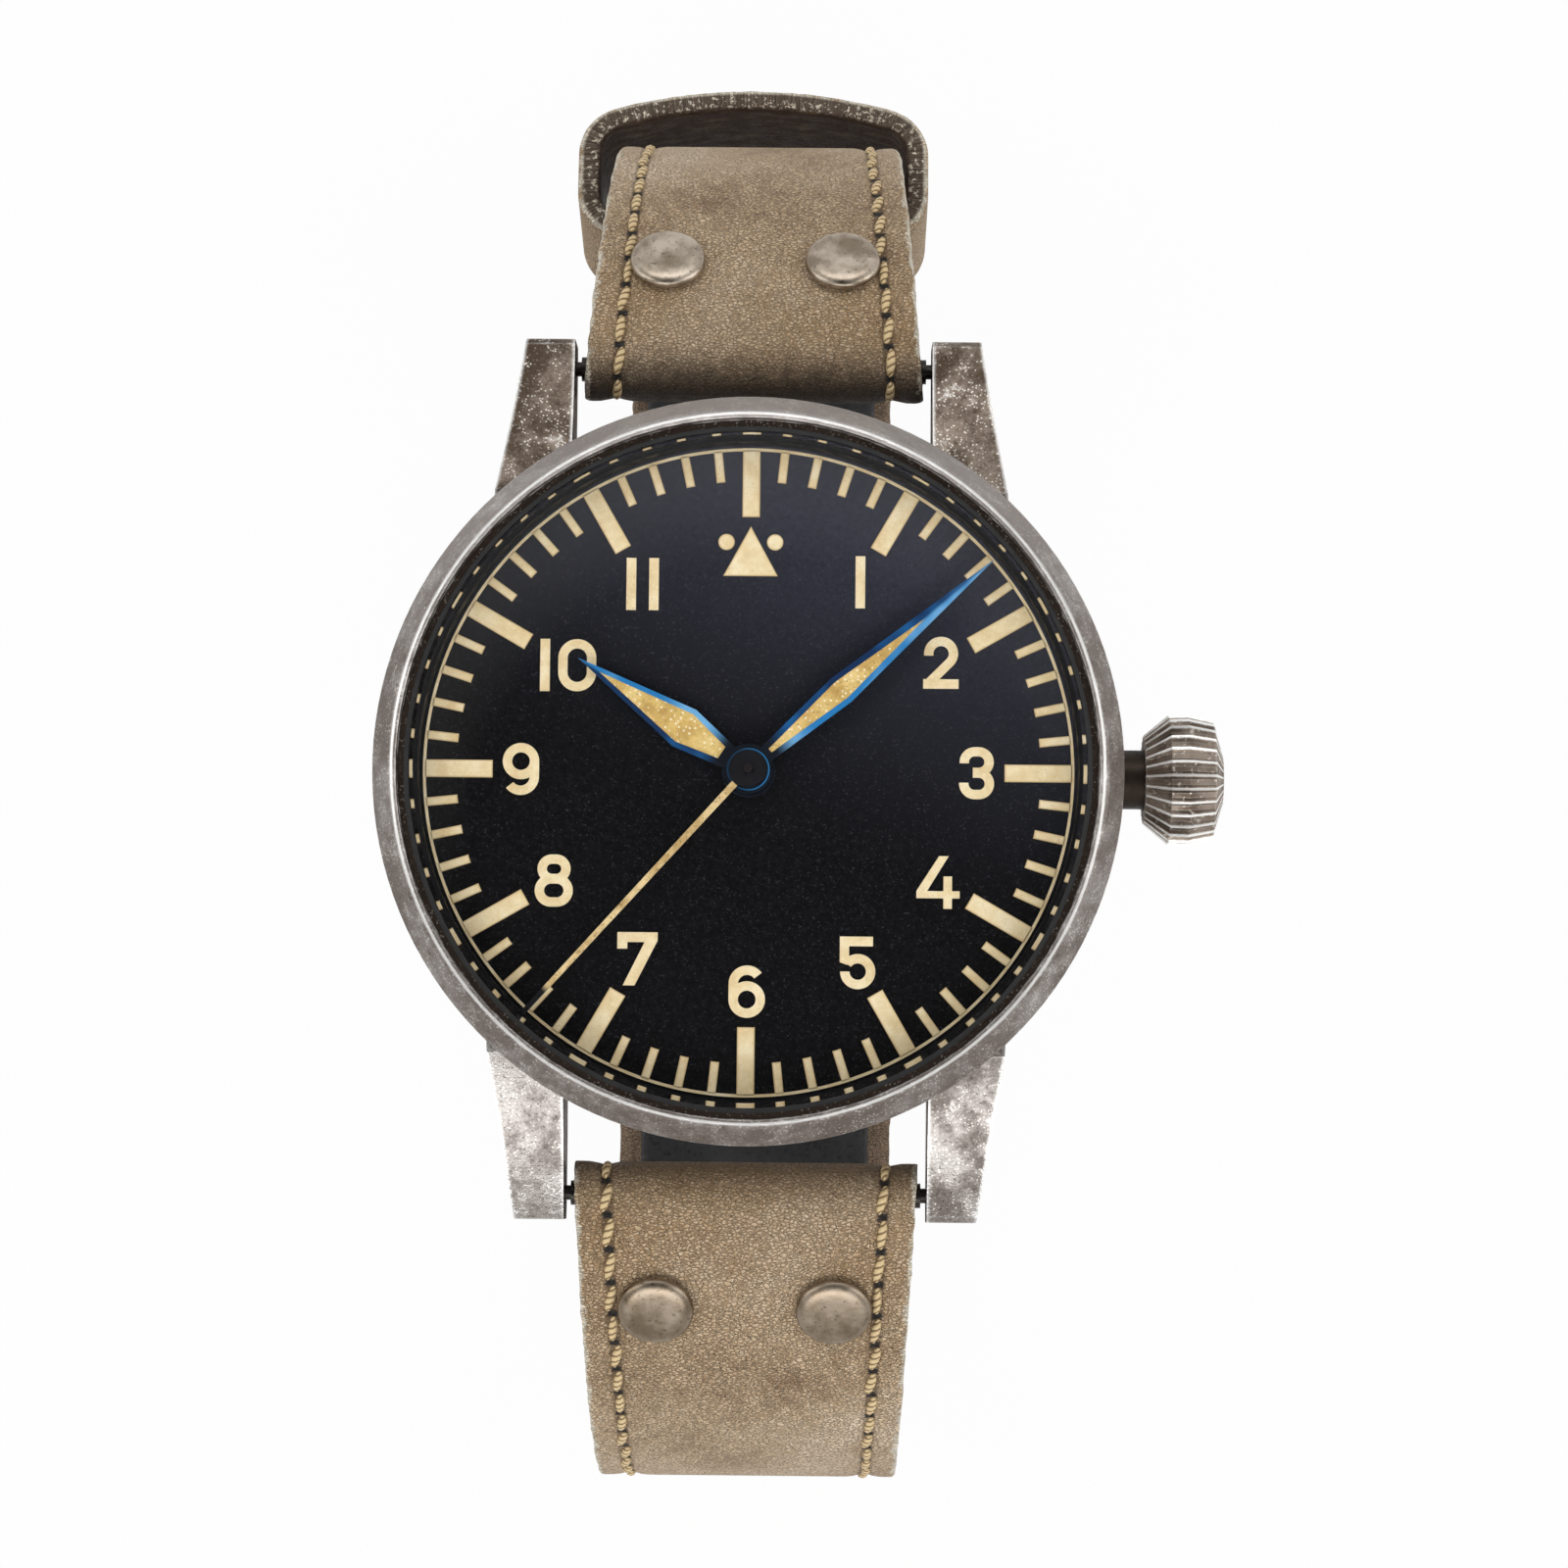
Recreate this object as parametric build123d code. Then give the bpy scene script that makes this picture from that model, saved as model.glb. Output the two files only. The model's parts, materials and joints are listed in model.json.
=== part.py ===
from build123d import *
import os
from math import atan2, cos, degrees, radians, sin, sqrt

os.makedirs("parts", exist_ok=True)

# A hand-wound pilot's watch on a buckled leather strap. Millimetres throughout. +Z is the way the dial faces,
# +Y is 12 o'clock and +X is the crown's side. The origin is the middle of the case back's flat outer face.

# Case and bezel
case_radius = 21.9
case_bottom = 1.2
case_top = 8.9
case_edge = 0.5
case_bore = 19.0
dial_bore = 20.4
bezel_radius = 22.5
bezel_foot = 0.3
bezel_wall = 0.7
bezel_cone_rise = 1.75
bezel_cone_run = 1.0
ridge_height = 0.25
ridge_width = 0.55
recess_depth = 0.75
recess_width = 0.4
ledge_height = 0.5

# Crystal
crystal_radius = 20.25
crystal_gasket_wall = 0.3
crystal_edge = 2.0
crystal_rise = 1.4
crystal_bevel = 0.25

# Lugs and spring bars
lug_gap = 22.0
lug_reach = 27.0
lug_tip_width = 3.0
lug_root_width = 4.5
lug_root = 17.0
lug_tip_top = 4.4
lug_tip_bottom = 0.5
lug_inset = 6.0
lug_edge = 0.35
lug_crown = 0.6
bar_inset = 1.6
bar_offset = lug_reach - bar_inset
bar_height = 2.4
bar_radius = 0.75
bar_pivot_radius = 0.45
bar_pivot_length = 1.2
bar_end_gap = 0.35

# Case back
back_radius = 20.6
back_rim_radius = 18.95
back_rim_wall = 1.1
back_rim_height = 0.8
back_edge = 0.3
back_notches = 6
back_notch_width = 2.4
back_notch_depth = 1.0
gasket_inner = 19.3
gasket_width = 0.7
gasket_height = 0.6

# Crown, tube and stem
stem_height = 4.6
tube_radius = 1.8
tube_bore = 0.85
tube_reach = 25.6
crown_overlap = 1.6
crown_start = tube_reach - crown_overlap
crown_stations = (0.0, 1.5, 2.6, 4.2, 4.8)
crown_radii = (2.7, 3.95, 4.0, 3.65, 1.6)
crown_flutes = 28
flute_depth_share = 0.085
flute_shares = ((0.0, 0.0), (0.3, 1.0), (0.7, 1.0))
crown_bore = 1.9
crown_bore_depth = 1.9
crown_gasket_start = 0.3
crown_gasket_width = 0.45
crown_gasket_radius = 2.3
stem_radius = 0.6
stem_end = 10.6
stem_square = 0.8
stem_square_end = 13.1
stem_hold = 0.8
groove_start = 14.3
groove_width = 0.5
groove_radius = 0.35

# Dial and hands
dial_radius = 20.2
dial_thickness = 0.4
dial_low = 7.4
dial_hole = 1.25
flange_outer = 20.0
flange_wall = 0.3
hour_hand_low = 8.15
minute_hand_low = 8.85
seconds_hand_low = 9.35
hand_thickness = 0.2
seconds_thickness = 0.15
lume_thickness = 0.14
hour_length = 12.25
hour_width = 2.6
hour_widest = 4.6
hour_hub = 1.6
hour_neck = 0.9
minute_length = 19.4
minute_width = 1.85
minute_widest = 7.3
minute_hub = 1.4
minute_neck = 0.8
hand_frame = 0.32
seconds_length = 19.7
seconds_width = 0.42
seconds_tip_width = 0.3
seconds_hub = 1.1
hour_angle = 303.0
minute_angle = 48.9
seconds_angle = 222.1

# Movement levels
plate_radius = 16.4
plate_low = 5.0
plate_high = 6.4
bridge_low = 1.9
bridge_high = 2.7
bridge_radius = 16.0
ratchet_low = 1.45
ratchet_high = 1.85
running_gap = 0.04
level_gap = 0.05
bridge_gap = 0.2

# Going train: teeth and modules
barrel_teeth = 70
centre_leaves = 10
centre_teeth = 64
third_leaves = 8
third_teeth = 60
fourth_leaves = 8
fourth_teeth = 60
escape_leaves = 6
escape_teeth = 15
barrel_module = 0.15
centre_module = 0.125
fourth_module = 0.134
cannon_leaves = 8
minute_teeth = 24
minute_leaves = 6
hour_teeth = 24
setting_teeth = 16
motion_module = 0.24
crown_wheel_teeth = 24
ratchet_teeth = 36
winding_module = 0.2667
face_teeth = 16
pinion_teeth = 10
pinion_pitch_radius = 1.15

# Tooth form, as shares of the module or of the pitch
addendum_share = 0.85
dedendum_share = 1.25
root_width_share = 0.44
tip_width_share = 0.18

# Arbors, pivots and jewels
arbor_radius = 0.2
post_radius = 0.3
pivot_radius = 0.13
pivot_length = 0.3
jewel_radius = 0.6
jewel_bore = 0.17
jewel_height = 0.3
seconds_arbor_radius = 0.27
seconds_arbor_top = 9.8
centre_arbor_radius = 0.55
cannon_tube_radius = 0.8
hour_tube_radius = 1.1

# Places round the movement, as angles seen from the dial
barrel_angle = 38.6
third_angle = 188.6
escape_angle = 283.6
lever_angle = 265.0
lever_reach = 3.3
crown_wheel_place = 11.76

# Wheel levels
fourth_low = 2.85
fourth_disc = 0.15
third_low = 3.6
third_disc = 0.2
centre_low = 4.6
centre_disc = 0.2
escape_low = 3.9
escape_disc = 0.15
escape_radius = 2.2
leaf_overrun = 0.06

# Barrel
drum_low = 3.1
drum_high = 4.45
drum_wall = 0.25
drum_floor = 0.2
barrel_tooth_low = 4.1
barrel_tooth_height = 0.3
drum_radius = 5.0
barrel_arbor_radius = 0.9
ratchet_square = 1.1
mainspring_turns = 5
mainspring_strip = 0.12
mainspring_inner = 1.3
mainspring_pitch = 0.62

# Balance and lever
balance_radius = 4.4
balance_rim = 0.5
balance_low = 2.95
balance_height = 0.42
balance_arm = 0.6
balance_hub = 0.7
roller_low = 3.46
roller_height = 0.14
roller_radius = 1.1
impulse_radius = 0.12
impulse_place = 0.9
lever_low = 3.86
lever_thickness = 0.22
lever_width = 0.45
stone_gap = 0.17
stone_width = 0.3
stone_length = 0.75
lever_notch = 0.4
stone_turn = 30.0
rim_share = 0.74
rake_shares = ((0.0, 0.0), (0.55, 0.0), (0.95, 1.0), (1.1, 1.0))
pallet_bridge_low = 3.56
pallet_bridge_high = 3.76
hairspring_turns = 5
hairspring_strip = 0.06
hairspring_inner = 0.6
hairspring_pitch = 0.32
hairspring_low = 2.75
hairspring_height = 0.13

# Keyless work
clutch_start = 10.9
clutch_length = 2.0
clutch_radius = 0.9
clutch_groove_width = 0.4
clutch_groove_radius = 0.65
winding_start = 13.3
winding_length = 0.6
face_inner = 1.6
face_outer = 2.1
face_root = 3.2
face_tip = 3.58
lever_pin_radius = 0.17
setting_lever_low = 3.5
setting_lever_high = 3.8
setting_pivot = (15.05, -2.6)
yoke_reach = 4.2
click_reach = 6.6
click_angle = 100.0
click_tip_reach = 5.14
click_tip_angle = 118.0
click_wall = 0.75
face_gap_share = 0.65

# Strap
strap_width = 20.8
upper_back_width = 18.2
lower_back_width = 19.0
leather = 2.3
lining = 1.0
lining_width = 16.0
roll_wall = 1.2
roll_slope = 18.0
strap_reach = 44.0
upper_lower_bend = 19.5
layer_gap = 0.3
flap_run = 10.3
flap_gap = 0.4
tail_end = 23.5
tail_point = 4.0
tail_tip_share = 0.5
rivet_run = 7.0
rivet_spread = 10.9
rivet_cap = 2.35
rivet_dome = 0.85
rivet_rim = 0.3
rivet_rim_height = 0.5
rivet_dome_bulge = 0.1
rivet_rim_bulge = 0.13
rivet_shank = 0.8
rivet_washer = 2.0
rivet_washer_height = 0.35
rivet_sink = 0.02
hole_count = 6
hole_pitch = 6.5
hole_width = 2.0
hole_length = 3.6

# Buckle and keepers
buckle_bar_place = 1.5
buckle_bar_radius = 0.6
buckle_eye = 1.65
buckle_slot_width = 2.4
frame_wall = 1.5
frame_reach = 11.5
frame_bar_height = 1.4
frame_gap = 0.35
frame_ear_share = 0.6
tongue_width = 1.3
tongue_tip_height = 0.8
tongue_drop = 3.1
keeper_wall = 1.5
keeper_gap = 0.25
keeper_corner = 1.6
fixed_keeper_place = 13.5
fixed_keeper_width = 6.0
free_keeper_width = 9.0
free_keeper_tilt = 14.0
free_keeper_room = 2.6
free_keeper_slack = 1.9
free_keeper_side = 0.6
free_keeper_corner = 2.0
free_keeper_bulge = 1.4

overrun = 1.0
low_align = (Align.CENTER, Align.CENTER, Align.MIN)


# Shape helpers

def drum(radius, low, high, place=(0, 0)):
    return Pos(place[0], place[1], low) * Cylinder(radius, high - low, align=low_align)


def tube(outer, inner, low, high, place=(0, 0)):
    return drum(outer, low, high, place) - drum(inner, low - overrun, high + overrun, place)


def turned(*outline):
    # a solid of revolution about Z from (radius, height) points
    return revolve(make_face(Polyline(*[(r, 0, z) for r, z in outline], close=True)), Axis.Z)


def prism(outline, low, high):
    # an upright solid on an outline of (x, y) points
    face = make_face(Polyline(*[(x, y, low) for x, y in outline], close=True))
    return extrude(face, amount=high - low, dir=(0, 0, 1))


def block(x, y, z):
    # a box from (low, high) pairs
    corner = Box(x[1] - x[0], y[1] - y[0], z[1] - z[0], align=(Align.MIN, Align.MIN, Align.MIN))
    return Pos(x[0], y[0], z[0]) * corner


def along_x(radius, start, end, height=stem_height):
    # a round bar on the winding stem's axis
    return Pos(start, 0, height) * Rot(0, 90, 0) * Cylinder(radius, end - start, align=low_align)


def across(radius, half_width, y, z):
    # a round bar along X, centred on the watch
    return Pos(0, y, z) * Rot(0, 90, 0) * Cylinder(radius, 2 * half_width)


def polar(reach, angle, centre=(0, 0)):
    return (centre[0] + reach * cos(radians(angle)), centre[1] + reach * sin(radians(angle)))


def side_profile(outline, half_width):
    # a solid symmetric about the Y-Z plane on an outline of (y, z) points
    face = make_face(Polyline(*[(0, y, z) for y, z in outline], close=True))
    return extrude(face, amount=half_width, dir=(1, 0, 0), both=True)


def mirrored(shape, plane):
    return shape + mirror(shape, about=plane)


def arm_outline(start, end, half_start, half_end):
    # the outline of a straight arm between two points, as wide as asked at each
    along = degrees(atan2(end[1] - start[1], end[0] - start[0]))
    return [polar(half_start, along + 90, start), polar(half_end, along + 90, end),
            polar(half_end, along - 90, end), polar(half_start, along - 90, start)]


# Wheels and pinions

def tooth_outline(teeth, module, place=(0, 0), phase=0.0):
    # straight-sided teeth, four points each; a tooth points along the phase angle
    pitch_radius = teeth * module / 2
    tip = pitch_radius + addendum_share * module
    root = pitch_radius - dedendum_share * module
    step = 360 / teeth
    points = []
    for tooth in range(teeth):
        middle = phase + tooth * step
        points.append(polar(root, middle - root_width_share * step / 2, place))
        points.append(polar(tip, middle - tip_width_share * step / 2, place))
        points.append(polar(tip, middle + tip_width_share * step / 2, place))
        points.append(polar(root, middle + root_width_share * step / 2, place))
    return points


def toothed(teeth, module, low, high, place=(0, 0), phase=0.0):
    return prism(tooth_outline(teeth, module, place, phase), low, high)


def mesh_phase(driver_teeth, driver_phase, line_angle, teeth):
    # turns a wheel so that one of its gaps faces a tooth of the wheel it meshes with;
    # line_angle points from the driver's centre to this wheel's centre
    driver_step = 360 / driver_teeth
    ahead = (line_angle - driver_phase) / driver_step
    part_step = ahead - round(ahead)
    step = 360 / teeth
    return line_angle + 180 + step / 2 + part_step * step


def arbor(place, low, high):
    # a shaft with a pivot at each end
    body = drum(arbor_radius, low, high, place)
    return body + drum(pivot_radius, low - pivot_length, high + pivot_length, place)


def spiral_strip(inner, pitch, turns, strip, low, high, place):
    # half turns of growing radius about two centres, one strip wide, swung back to close the outline
    outer_edges = []
    inner_edges = []
    for half in range(2 * turns):
        centre = (place[0] + (-pitch / 4 if half % 2 == 0 else pitch / 4), place[1])
        radius = inner + half * pitch / 2
        start = 0 if half % 2 == 0 else 180
        outer_edges.append(CenterArc((centre[0], centre[1], low), radius + strip, start, 180))
        inner_edges.append(CenterArc((centre[0], centre[1], low), radius, start, 180))
    first = Line(inner_edges[0] @ 0, outer_edges[0] @ 0)
    last = Line(inner_edges[-1] @ 1, outer_edges[-1] @ 1)
    outline = Wire(outer_edges + inner_edges + [first, last])
    return extrude(make_face(outline.edges()), amount=high - low, dir=(0, 0, 1))


# Places of the movement's centres

centre = (0, 0)
barrel_place = polar(barrel_module * (barrel_teeth + centre_leaves) / 2, barrel_angle)
third_reach = centre_module * (centre_teeth + third_leaves) / 2
third_place = polar(third_reach, third_angle)
third_module = 2 * third_reach / (third_teeth + fourth_leaves)
escape_reach = fourth_module * (fourth_teeth + escape_leaves) / 2
escape_place = polar(escape_reach, escape_angle)
pallet_reach = escape_radius / cos(radians(stone_turn))
pallet_place = polar(pallet_reach, lever_angle, escape_place)
balance_place = polar(lever_reach, lever_angle, pallet_place)
minute_reach = motion_module * (cannon_leaves + minute_teeth) / 2
hour_module = 2 * minute_reach / (minute_leaves + hour_teeth)
minute_place = (minute_reach, 0)
setting_place = (minute_reach + motion_module * (minute_teeth + setting_teeth) / 2, 0)
crown_wheel_centre = (crown_wheel_place, 0)
winding_line = degrees(atan2(barrel_place[1], barrel_place[0] - crown_wheel_place))


# Case

def lug():
    # one lug, towards +X and +Y; its plan tapers, its top falls in an arc and its foot tucks under
    inner = lug_gap / 2
    root_in = lug_root - lug_inset
    outer = inner + lug_root_width
    plan = [(inner, root_in), (outer + bezel_foot, root_in), (outer, lug_root),
            (inner + lug_tip_width, lug_reach), (inner, lug_reach)]
    crest = case_top - case_edge
    tip_top = (lug_reach - lug_edge, lug_tip_top)
    foot_rise = case_bottom + case_edge - lug_tip_bottom
    foot = [(root_in + (lug_reach - root_in) * y, lug_tip_bottom + foot_rise * z) for y, z in foot_shares]
    edges = [
        Line((root_in, crest), (lug_root, crest)),
        SagittaArc((lug_root, crest), tip_top, -lug_crown),
        Polyline(tip_top, (lug_reach, lug_tip_top - lug_edge), (lug_reach, lug_tip_bottom + lug_edge), *foot,
                 (root_in, crest)),
    ]
    side = extrude(Plane.YZ * make_face(edges), amount=bezel_radius, both=True)
    return prism(plan, 0, case_top) & side


foot_shares = ((0.93, 0.0), (0.7, 0.1), (0.4, 0.55), (0.0, 1.0))


def case_middle():
    body = turned(
        (case_bore, case_bottom),
        (case_radius - case_edge, case_bottom),
        (case_radius, case_bottom + case_edge),
        (case_radius, case_top),
        (dial_bore, case_top),
        (dial_bore, dial_low),
        (case_bore, dial_low),
    )
    body += mirrored(mirrored(lug(), Plane.XZ), Plane.YZ)
    body -= drum(case_bore, 0, case_top)
    body -= drum(dial_bore, dial_low, case_top + overrun)
    body -= drum(back_radius + running_gap, -overrun, case_bottom)
    for end in (-1, 1):
        body -= across(bar_pivot_radius + running_gap, lug_gap / 2 + bar_pivot_length + running_gap,
                       end * bar_offset, bar_height)
    return body - along_x(tube_radius, case_bore - overrun, bezel_radius)


bezel_shoulder = case_top + bezel_foot + bezel_wall
bezel_ridge = bezel_shoulder + bezel_cone_rise
ridge_radius = bezel_radius - bezel_cone_run
crystal_bore = crystal_radius + crystal_gasket_wall
recess_radius = crystal_bore + recess_width
crystal_low = case_top + ledge_height


def bezel():
    return turned(
        (flange_outer + running_gap, case_top),
        (case_radius, case_top),
        (bezel_radius, case_top + bezel_foot),
        (bezel_radius, bezel_shoulder),
        (ridge_radius, bezel_ridge),
        (ridge_radius - ridge_width / 2, bezel_ridge + ridge_height),
        (recess_radius, bezel_ridge),
        (recess_radius, bezel_ridge - recess_depth),
        (crystal_bore, bezel_ridge - recess_depth),
        (crystal_bore, crystal_low),
        (flange_outer + running_gap, crystal_low),
    )


def crystal():
    # a meniscus: both faces are shallow spheres of the same rise
    low_edge = crystal_low
    high_edge = crystal_low + crystal_edge
    ball = (crystal_radius ** 2 + crystal_rise ** 2) / (2 * crystal_rise)
    body = drum(crystal_radius, low_edge, high_edge + crystal_rise)
    body &= Pos(0, 0, high_edge + crystal_rise - ball) * Sphere(ball)
    body -= Pos(0, 0, low_edge + crystal_rise - ball) * Sphere(ball)
    rim = crystal_radius - crystal_bevel
    return body - turned(
        (crystal_radius + overrun, high_edge - crystal_bevel - overrun),
        (crystal_radius + overrun, high_edge + overrun),
        (rim - overrun, high_edge + overrun),
    )


def crystal_gasket():
    return tube(crystal_bore, crystal_radius, crystal_low, bezel_ridge - recess_depth)


def flange_ring():
    return tube(flange_outer, flange_outer - flange_wall, dial_low + dial_thickness, crystal_low)


def case_back():
    body = turned(
        (0, 0),
        (back_radius - back_edge, 0),
        (back_radius, back_edge),
        (back_radius, case_bottom),
        (gasket_inner + gasket_width, case_bottom),
        (gasket_inner + gasket_width, case_bottom - gasket_height),
        (gasket_inner, case_bottom - gasket_height),
        (gasket_inner, case_bottom),
        (back_rim_radius, case_bottom),
        (back_rim_radius, case_bottom + back_rim_height),
        (back_rim_radius - back_rim_wall, case_bottom + back_rim_height),
        (back_rim_radius - back_rim_wall, case_bottom),
        (0, case_bottom),
    )
    notch = block((back_radius - back_notch_depth / 2, back_radius + overrun),
                  (-back_notch_width / 2, back_notch_width / 2), (-overrun, case_bottom - gasket_height))
    for turn in range(back_notches):
        body -= Rot(0, 0, turn * 360 / back_notches) * notch
    return body


def back_gasket():
    return tube(gasket_inner + gasket_width, gasket_inner, case_bottom - gasket_height, case_bottom)


def movement_ring():
    low = case_bottom + back_rim_height
    body = tube(case_bore - running_gap, plate_radius + running_gap, low, dial_low)
    return body - along_x(tube_bore, plate_radius - overrun, case_bore + overrun) - clamp_set(level_gap)


def clamp_set(room=0.0):
    # three casing clamps under the plate's edge
    clamp_inner = plate_radius - clamp_width
    clamps = Part()
    for angle in clamp_angles:
        clamp = block((clamp_inner, plate_radius + clamp_grip + room),
                      (-clamp_width / 2 - room, clamp_width / 2 + room),
                      (plate_low - clamp_thickness - room, plate_low + room))
        clamps += Rot(0, 0, angle) * clamp
    return clamps


clamp_width = 2.0
clamp_grip = 0.9
clamp_thickness = 0.4
clamp_angles = (62, 160, 308)


# Dial and hands

def dial():
    return tube(dial_radius, dial_hole, dial_low, dial_low + dial_thickness)


def leaf(length, width, widest, neck):
    # the outline of a leaf hand that points to 12
    return [(-neck / 2, 0), (-width / 2, widest), (0, length), (width / 2, widest), (neck / 2, 0)]


def leaf_window(length, width, widest, neck, hub, tip_share):
    # the opening for the lume, one frame's width inside the leaf
    half = width / 2 - hand_frame
    start = hub + hand_frame
    end = widest + (length - widest) * tip_share
    start_half = half * start / widest
    return [(-start_half, start), (-half, widest), (0, end), (half, widest), (start_half, start)]


def hand(length, width, widest, neck, hub, bore, low, angle, tip_share):
    body = prism(leaf(length, width, widest, neck), low, low + hand_thickness)
    body += drum(hub, low, low + hand_thickness)
    window = leaf_window(length, width, widest, neck, hub, tip_share)
    body -= prism(window, low - overrun, low + overrun)
    body -= drum(bore, low - overrun, low + overrun)
    middle = low + (hand_thickness - lume_thickness) / 2
    lume = prism(window, middle, middle + lume_thickness)
    return Rot(0, 0, -angle) * body, Rot(0, 0, -angle) * lume


hour_tip_share = 0.8
minute_tip_share = 0.55


def seconds_hand():
    half = seconds_width / 2
    tip = seconds_tip_width / 2
    blade = [(-half, 0), (-tip, seconds_length), (tip, seconds_length), (half, 0)]
    body = prism(blade, seconds_hand_low, seconds_hand_low + seconds_thickness)
    body += drum(seconds_hub, seconds_hand_low, seconds_hand_low + seconds_thickness)
    body -= drum(seconds_arbor_radius, seconds_hand_low - overrun, seconds_hand_low + overrun)
    return Rot(0, 0, -seconds_angle) * body


# Crown and keyless work

def crown():
    # ruled loft through fluted rings, three points for each flute
    rings = []
    for station, radius in zip(crown_stations, crown_radii):
        points = []
        for flute in range(crown_flutes):
            for share, depth in flute_shares:
                angle = radians((flute + share) * 360 / crown_flutes)
                reach = radius * (1 - flute_depth_share * depth)
                points.append((crown_start + station, reach * cos(angle), stem_height + reach * sin(angle)))
        rings.append(make_face(Polyline(*points, close=True)))
    body = loft(rings, ruled=True)
    body -= along_x(crown_bore, crown_start - overrun, crown_start + crown_bore_depth)
    gasket_at = crown_start + crown_gasket_start
    body -= along_x(crown_gasket_radius, gasket_at, gasket_at + crown_gasket_width)
    stem_seat = crown_start + crown_bore_depth
    return body - along_x(stem_radius, stem_seat - overrun, stem_seat + stem_hold)


def crown_gasket():
    start = crown_start + crown_gasket_start
    end = start + crown_gasket_width
    return along_x(crown_gasket_radius, start, end) - along_x(tube_radius + running_gap / 2, start, end)


def crown_tube():
    start = case_bore
    return along_x(tube_radius, start, tube_reach) - along_x(tube_bore, start, tube_reach)


def square_bar(side, start, end):
    return block((start, end), (-side / 2, side / 2), (stem_height - side / 2, stem_height + side / 2))


def winding_stem():
    body = along_x(stem_radius, stem_square_end, crown_start + crown_bore_depth + stem_hold)
    body += square_bar(stem_square, stem_end, stem_square_end)
    grooved = along_x(stem_radius + overrun, groove_start, groove_start + groove_width)
    return body - (grooved - along_x(groove_radius, groove_start, groove_start + groove_width))


def sliding_clutch():
    end = clutch_start + clutch_length
    body = along_x(clutch_radius, clutch_start, end)
    groove_at = clutch_start + clutch_length / 2 - clutch_groove_width / 2
    groove = along_x(clutch_radius + overrun, groove_at, groove_at + clutch_groove_width)
    groove -= along_x(clutch_groove_radius, groove_at, groove_at + clutch_groove_width)
    return body - groove - square_bar(stem_square + running_gap, clutch_start - overrun, end + overrun)


def winding_pinion():
    module = 2 * pinion_pitch_radius / pinion_teeth
    blank = toothed(pinion_teeth, module, 0, winding_length)
    blank -= drum(stem_radius + running_gap, -overrun, winding_length + overrun)
    return Pos(winding_start, 0, stem_height) * Rot(0, 90, 0) * blank


def crown_wheel():
    # spur teeth for the ratchet wheel, and a ring of face teeth for the winding pinion
    body = toothed(crown_wheel_teeth, winding_module, ratchet_low, ratchet_high, crown_wheel_centre)
    body += tube(face_outer, face_inner, ratchet_high - level_gap, face_tip, crown_wheel_centre)
    step = 360 / face_teeth
    for gap in range(face_teeth):
        slot_half = face_outer * radians(step) * face_gap_share / 2
        slot = block((0, face_outer + overrun), (-slot_half, slot_half), (face_root, face_tip + overrun))
        slot -= drum(face_inner / 2, face_root - overrun, face_tip + overrun)
        body -= Pos(crown_wheel_place, 0, 0) * Rot(0, 0, gap * step) * slot
    return body


def ratchet_wheel():
    phase = mesh_phase(crown_wheel_teeth, 0, winding_line, ratchet_teeth)
    body = toothed(ratchet_teeth, winding_module, ratchet_low, ratchet_high, barrel_place, phase)
    half = ratchet_square / 2
    return body - block((barrel_place[0] - half, barrel_place[0] + half),
                        (barrel_place[1] - half, barrel_place[1] + half),
                        (ratchet_low - overrun, ratchet_high + overrun))


def barrel_arbor():
    half = ratchet_square / 2
    body = drum(barrel_arbor_radius, bridge_high, drum_high + level_gap, barrel_place)
    body += drum(barrel_arbor_radius - drum_wall, ratchet_high, plate_low + pivot_length, barrel_place)
    return body + block((barrel_place[0] - half, barrel_place[0] + half),
                        (barrel_place[1] - half, barrel_place[1] + half), (ratchet_low, ratchet_high))


click_pivot = polar(click_reach, click_angle, barrel_place)
click_tip = polar(click_tip_reach, click_tip_angle, barrel_place)


def click():
    away = degrees(atan2(click_tip[1] - click_pivot[1], click_tip[0] - click_pivot[0]))
    beak = [polar(click_wall, away + 90, click_pivot), click_tip, polar(click_wall, away - 90, click_pivot)]
    body = prism(beak, ratchet_low, ratchet_high)
    body += drum(click_wall, ratchet_low, ratchet_high, click_pivot)
    return body - drum(post_radius + running_gap, ratchet_low - overrun, ratchet_high + overrun, click_pivot)


def setting_lever():
    pin_at = (groove_start + groove_width / 2, 0)
    wall = 2 * post_radius
    arm = arm_outline(setting_pivot, pin_at, wall, 2 * lever_pin_radius)
    body = prism(arm, setting_lever_low, setting_lever_high)
    body += drum(wall, setting_lever_low, setting_lever_high, setting_pivot)
    body += drum(2 * lever_pin_radius, setting_lever_low, setting_lever_high, pin_at)
    body += drum(lever_pin_radius, setting_lever_high, stem_height - groove_radius - 2 * level_gap, pin_at)
    return body - drum(post_radius + running_gap, setting_lever_low - overrun,
                       setting_lever_high + overrun, setting_pivot)


def clutch_yoke():
    # a fork that stands in the clutch's groove
    middle = clutch_start + clutch_length / 2
    half = clutch_groove_width / 2 - level_gap
    inner = clutch_groove_radius + level_gap
    body = block((middle - half, middle + half), (-yoke_reach, -inner), (stem_height - half, plate_low))
    return body + drum(2 * post_radius, stem_height - half, plate_low, (middle, -yoke_reach))


# Plate and bridges

pillar_radius = 1.1
barrel_pillars = ((2.5, 13.2), (13.0, -5.5), (10.8, 9.9))
train_pillars = ((-8.5, 7.5), (-11.5, -2.5))
cock_pillar = (-6.5, -11.0)
pallet_pillars = ((4.2, -6.3), (-3.2, -6.7))
pallet_pillar_radius = 0.7
screw_head = 0.8
screw_head_height = 0.4
screw_slot = 0.22
cock_width = 1.9
split_line = 2.2
train_edge = -5.5


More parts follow.
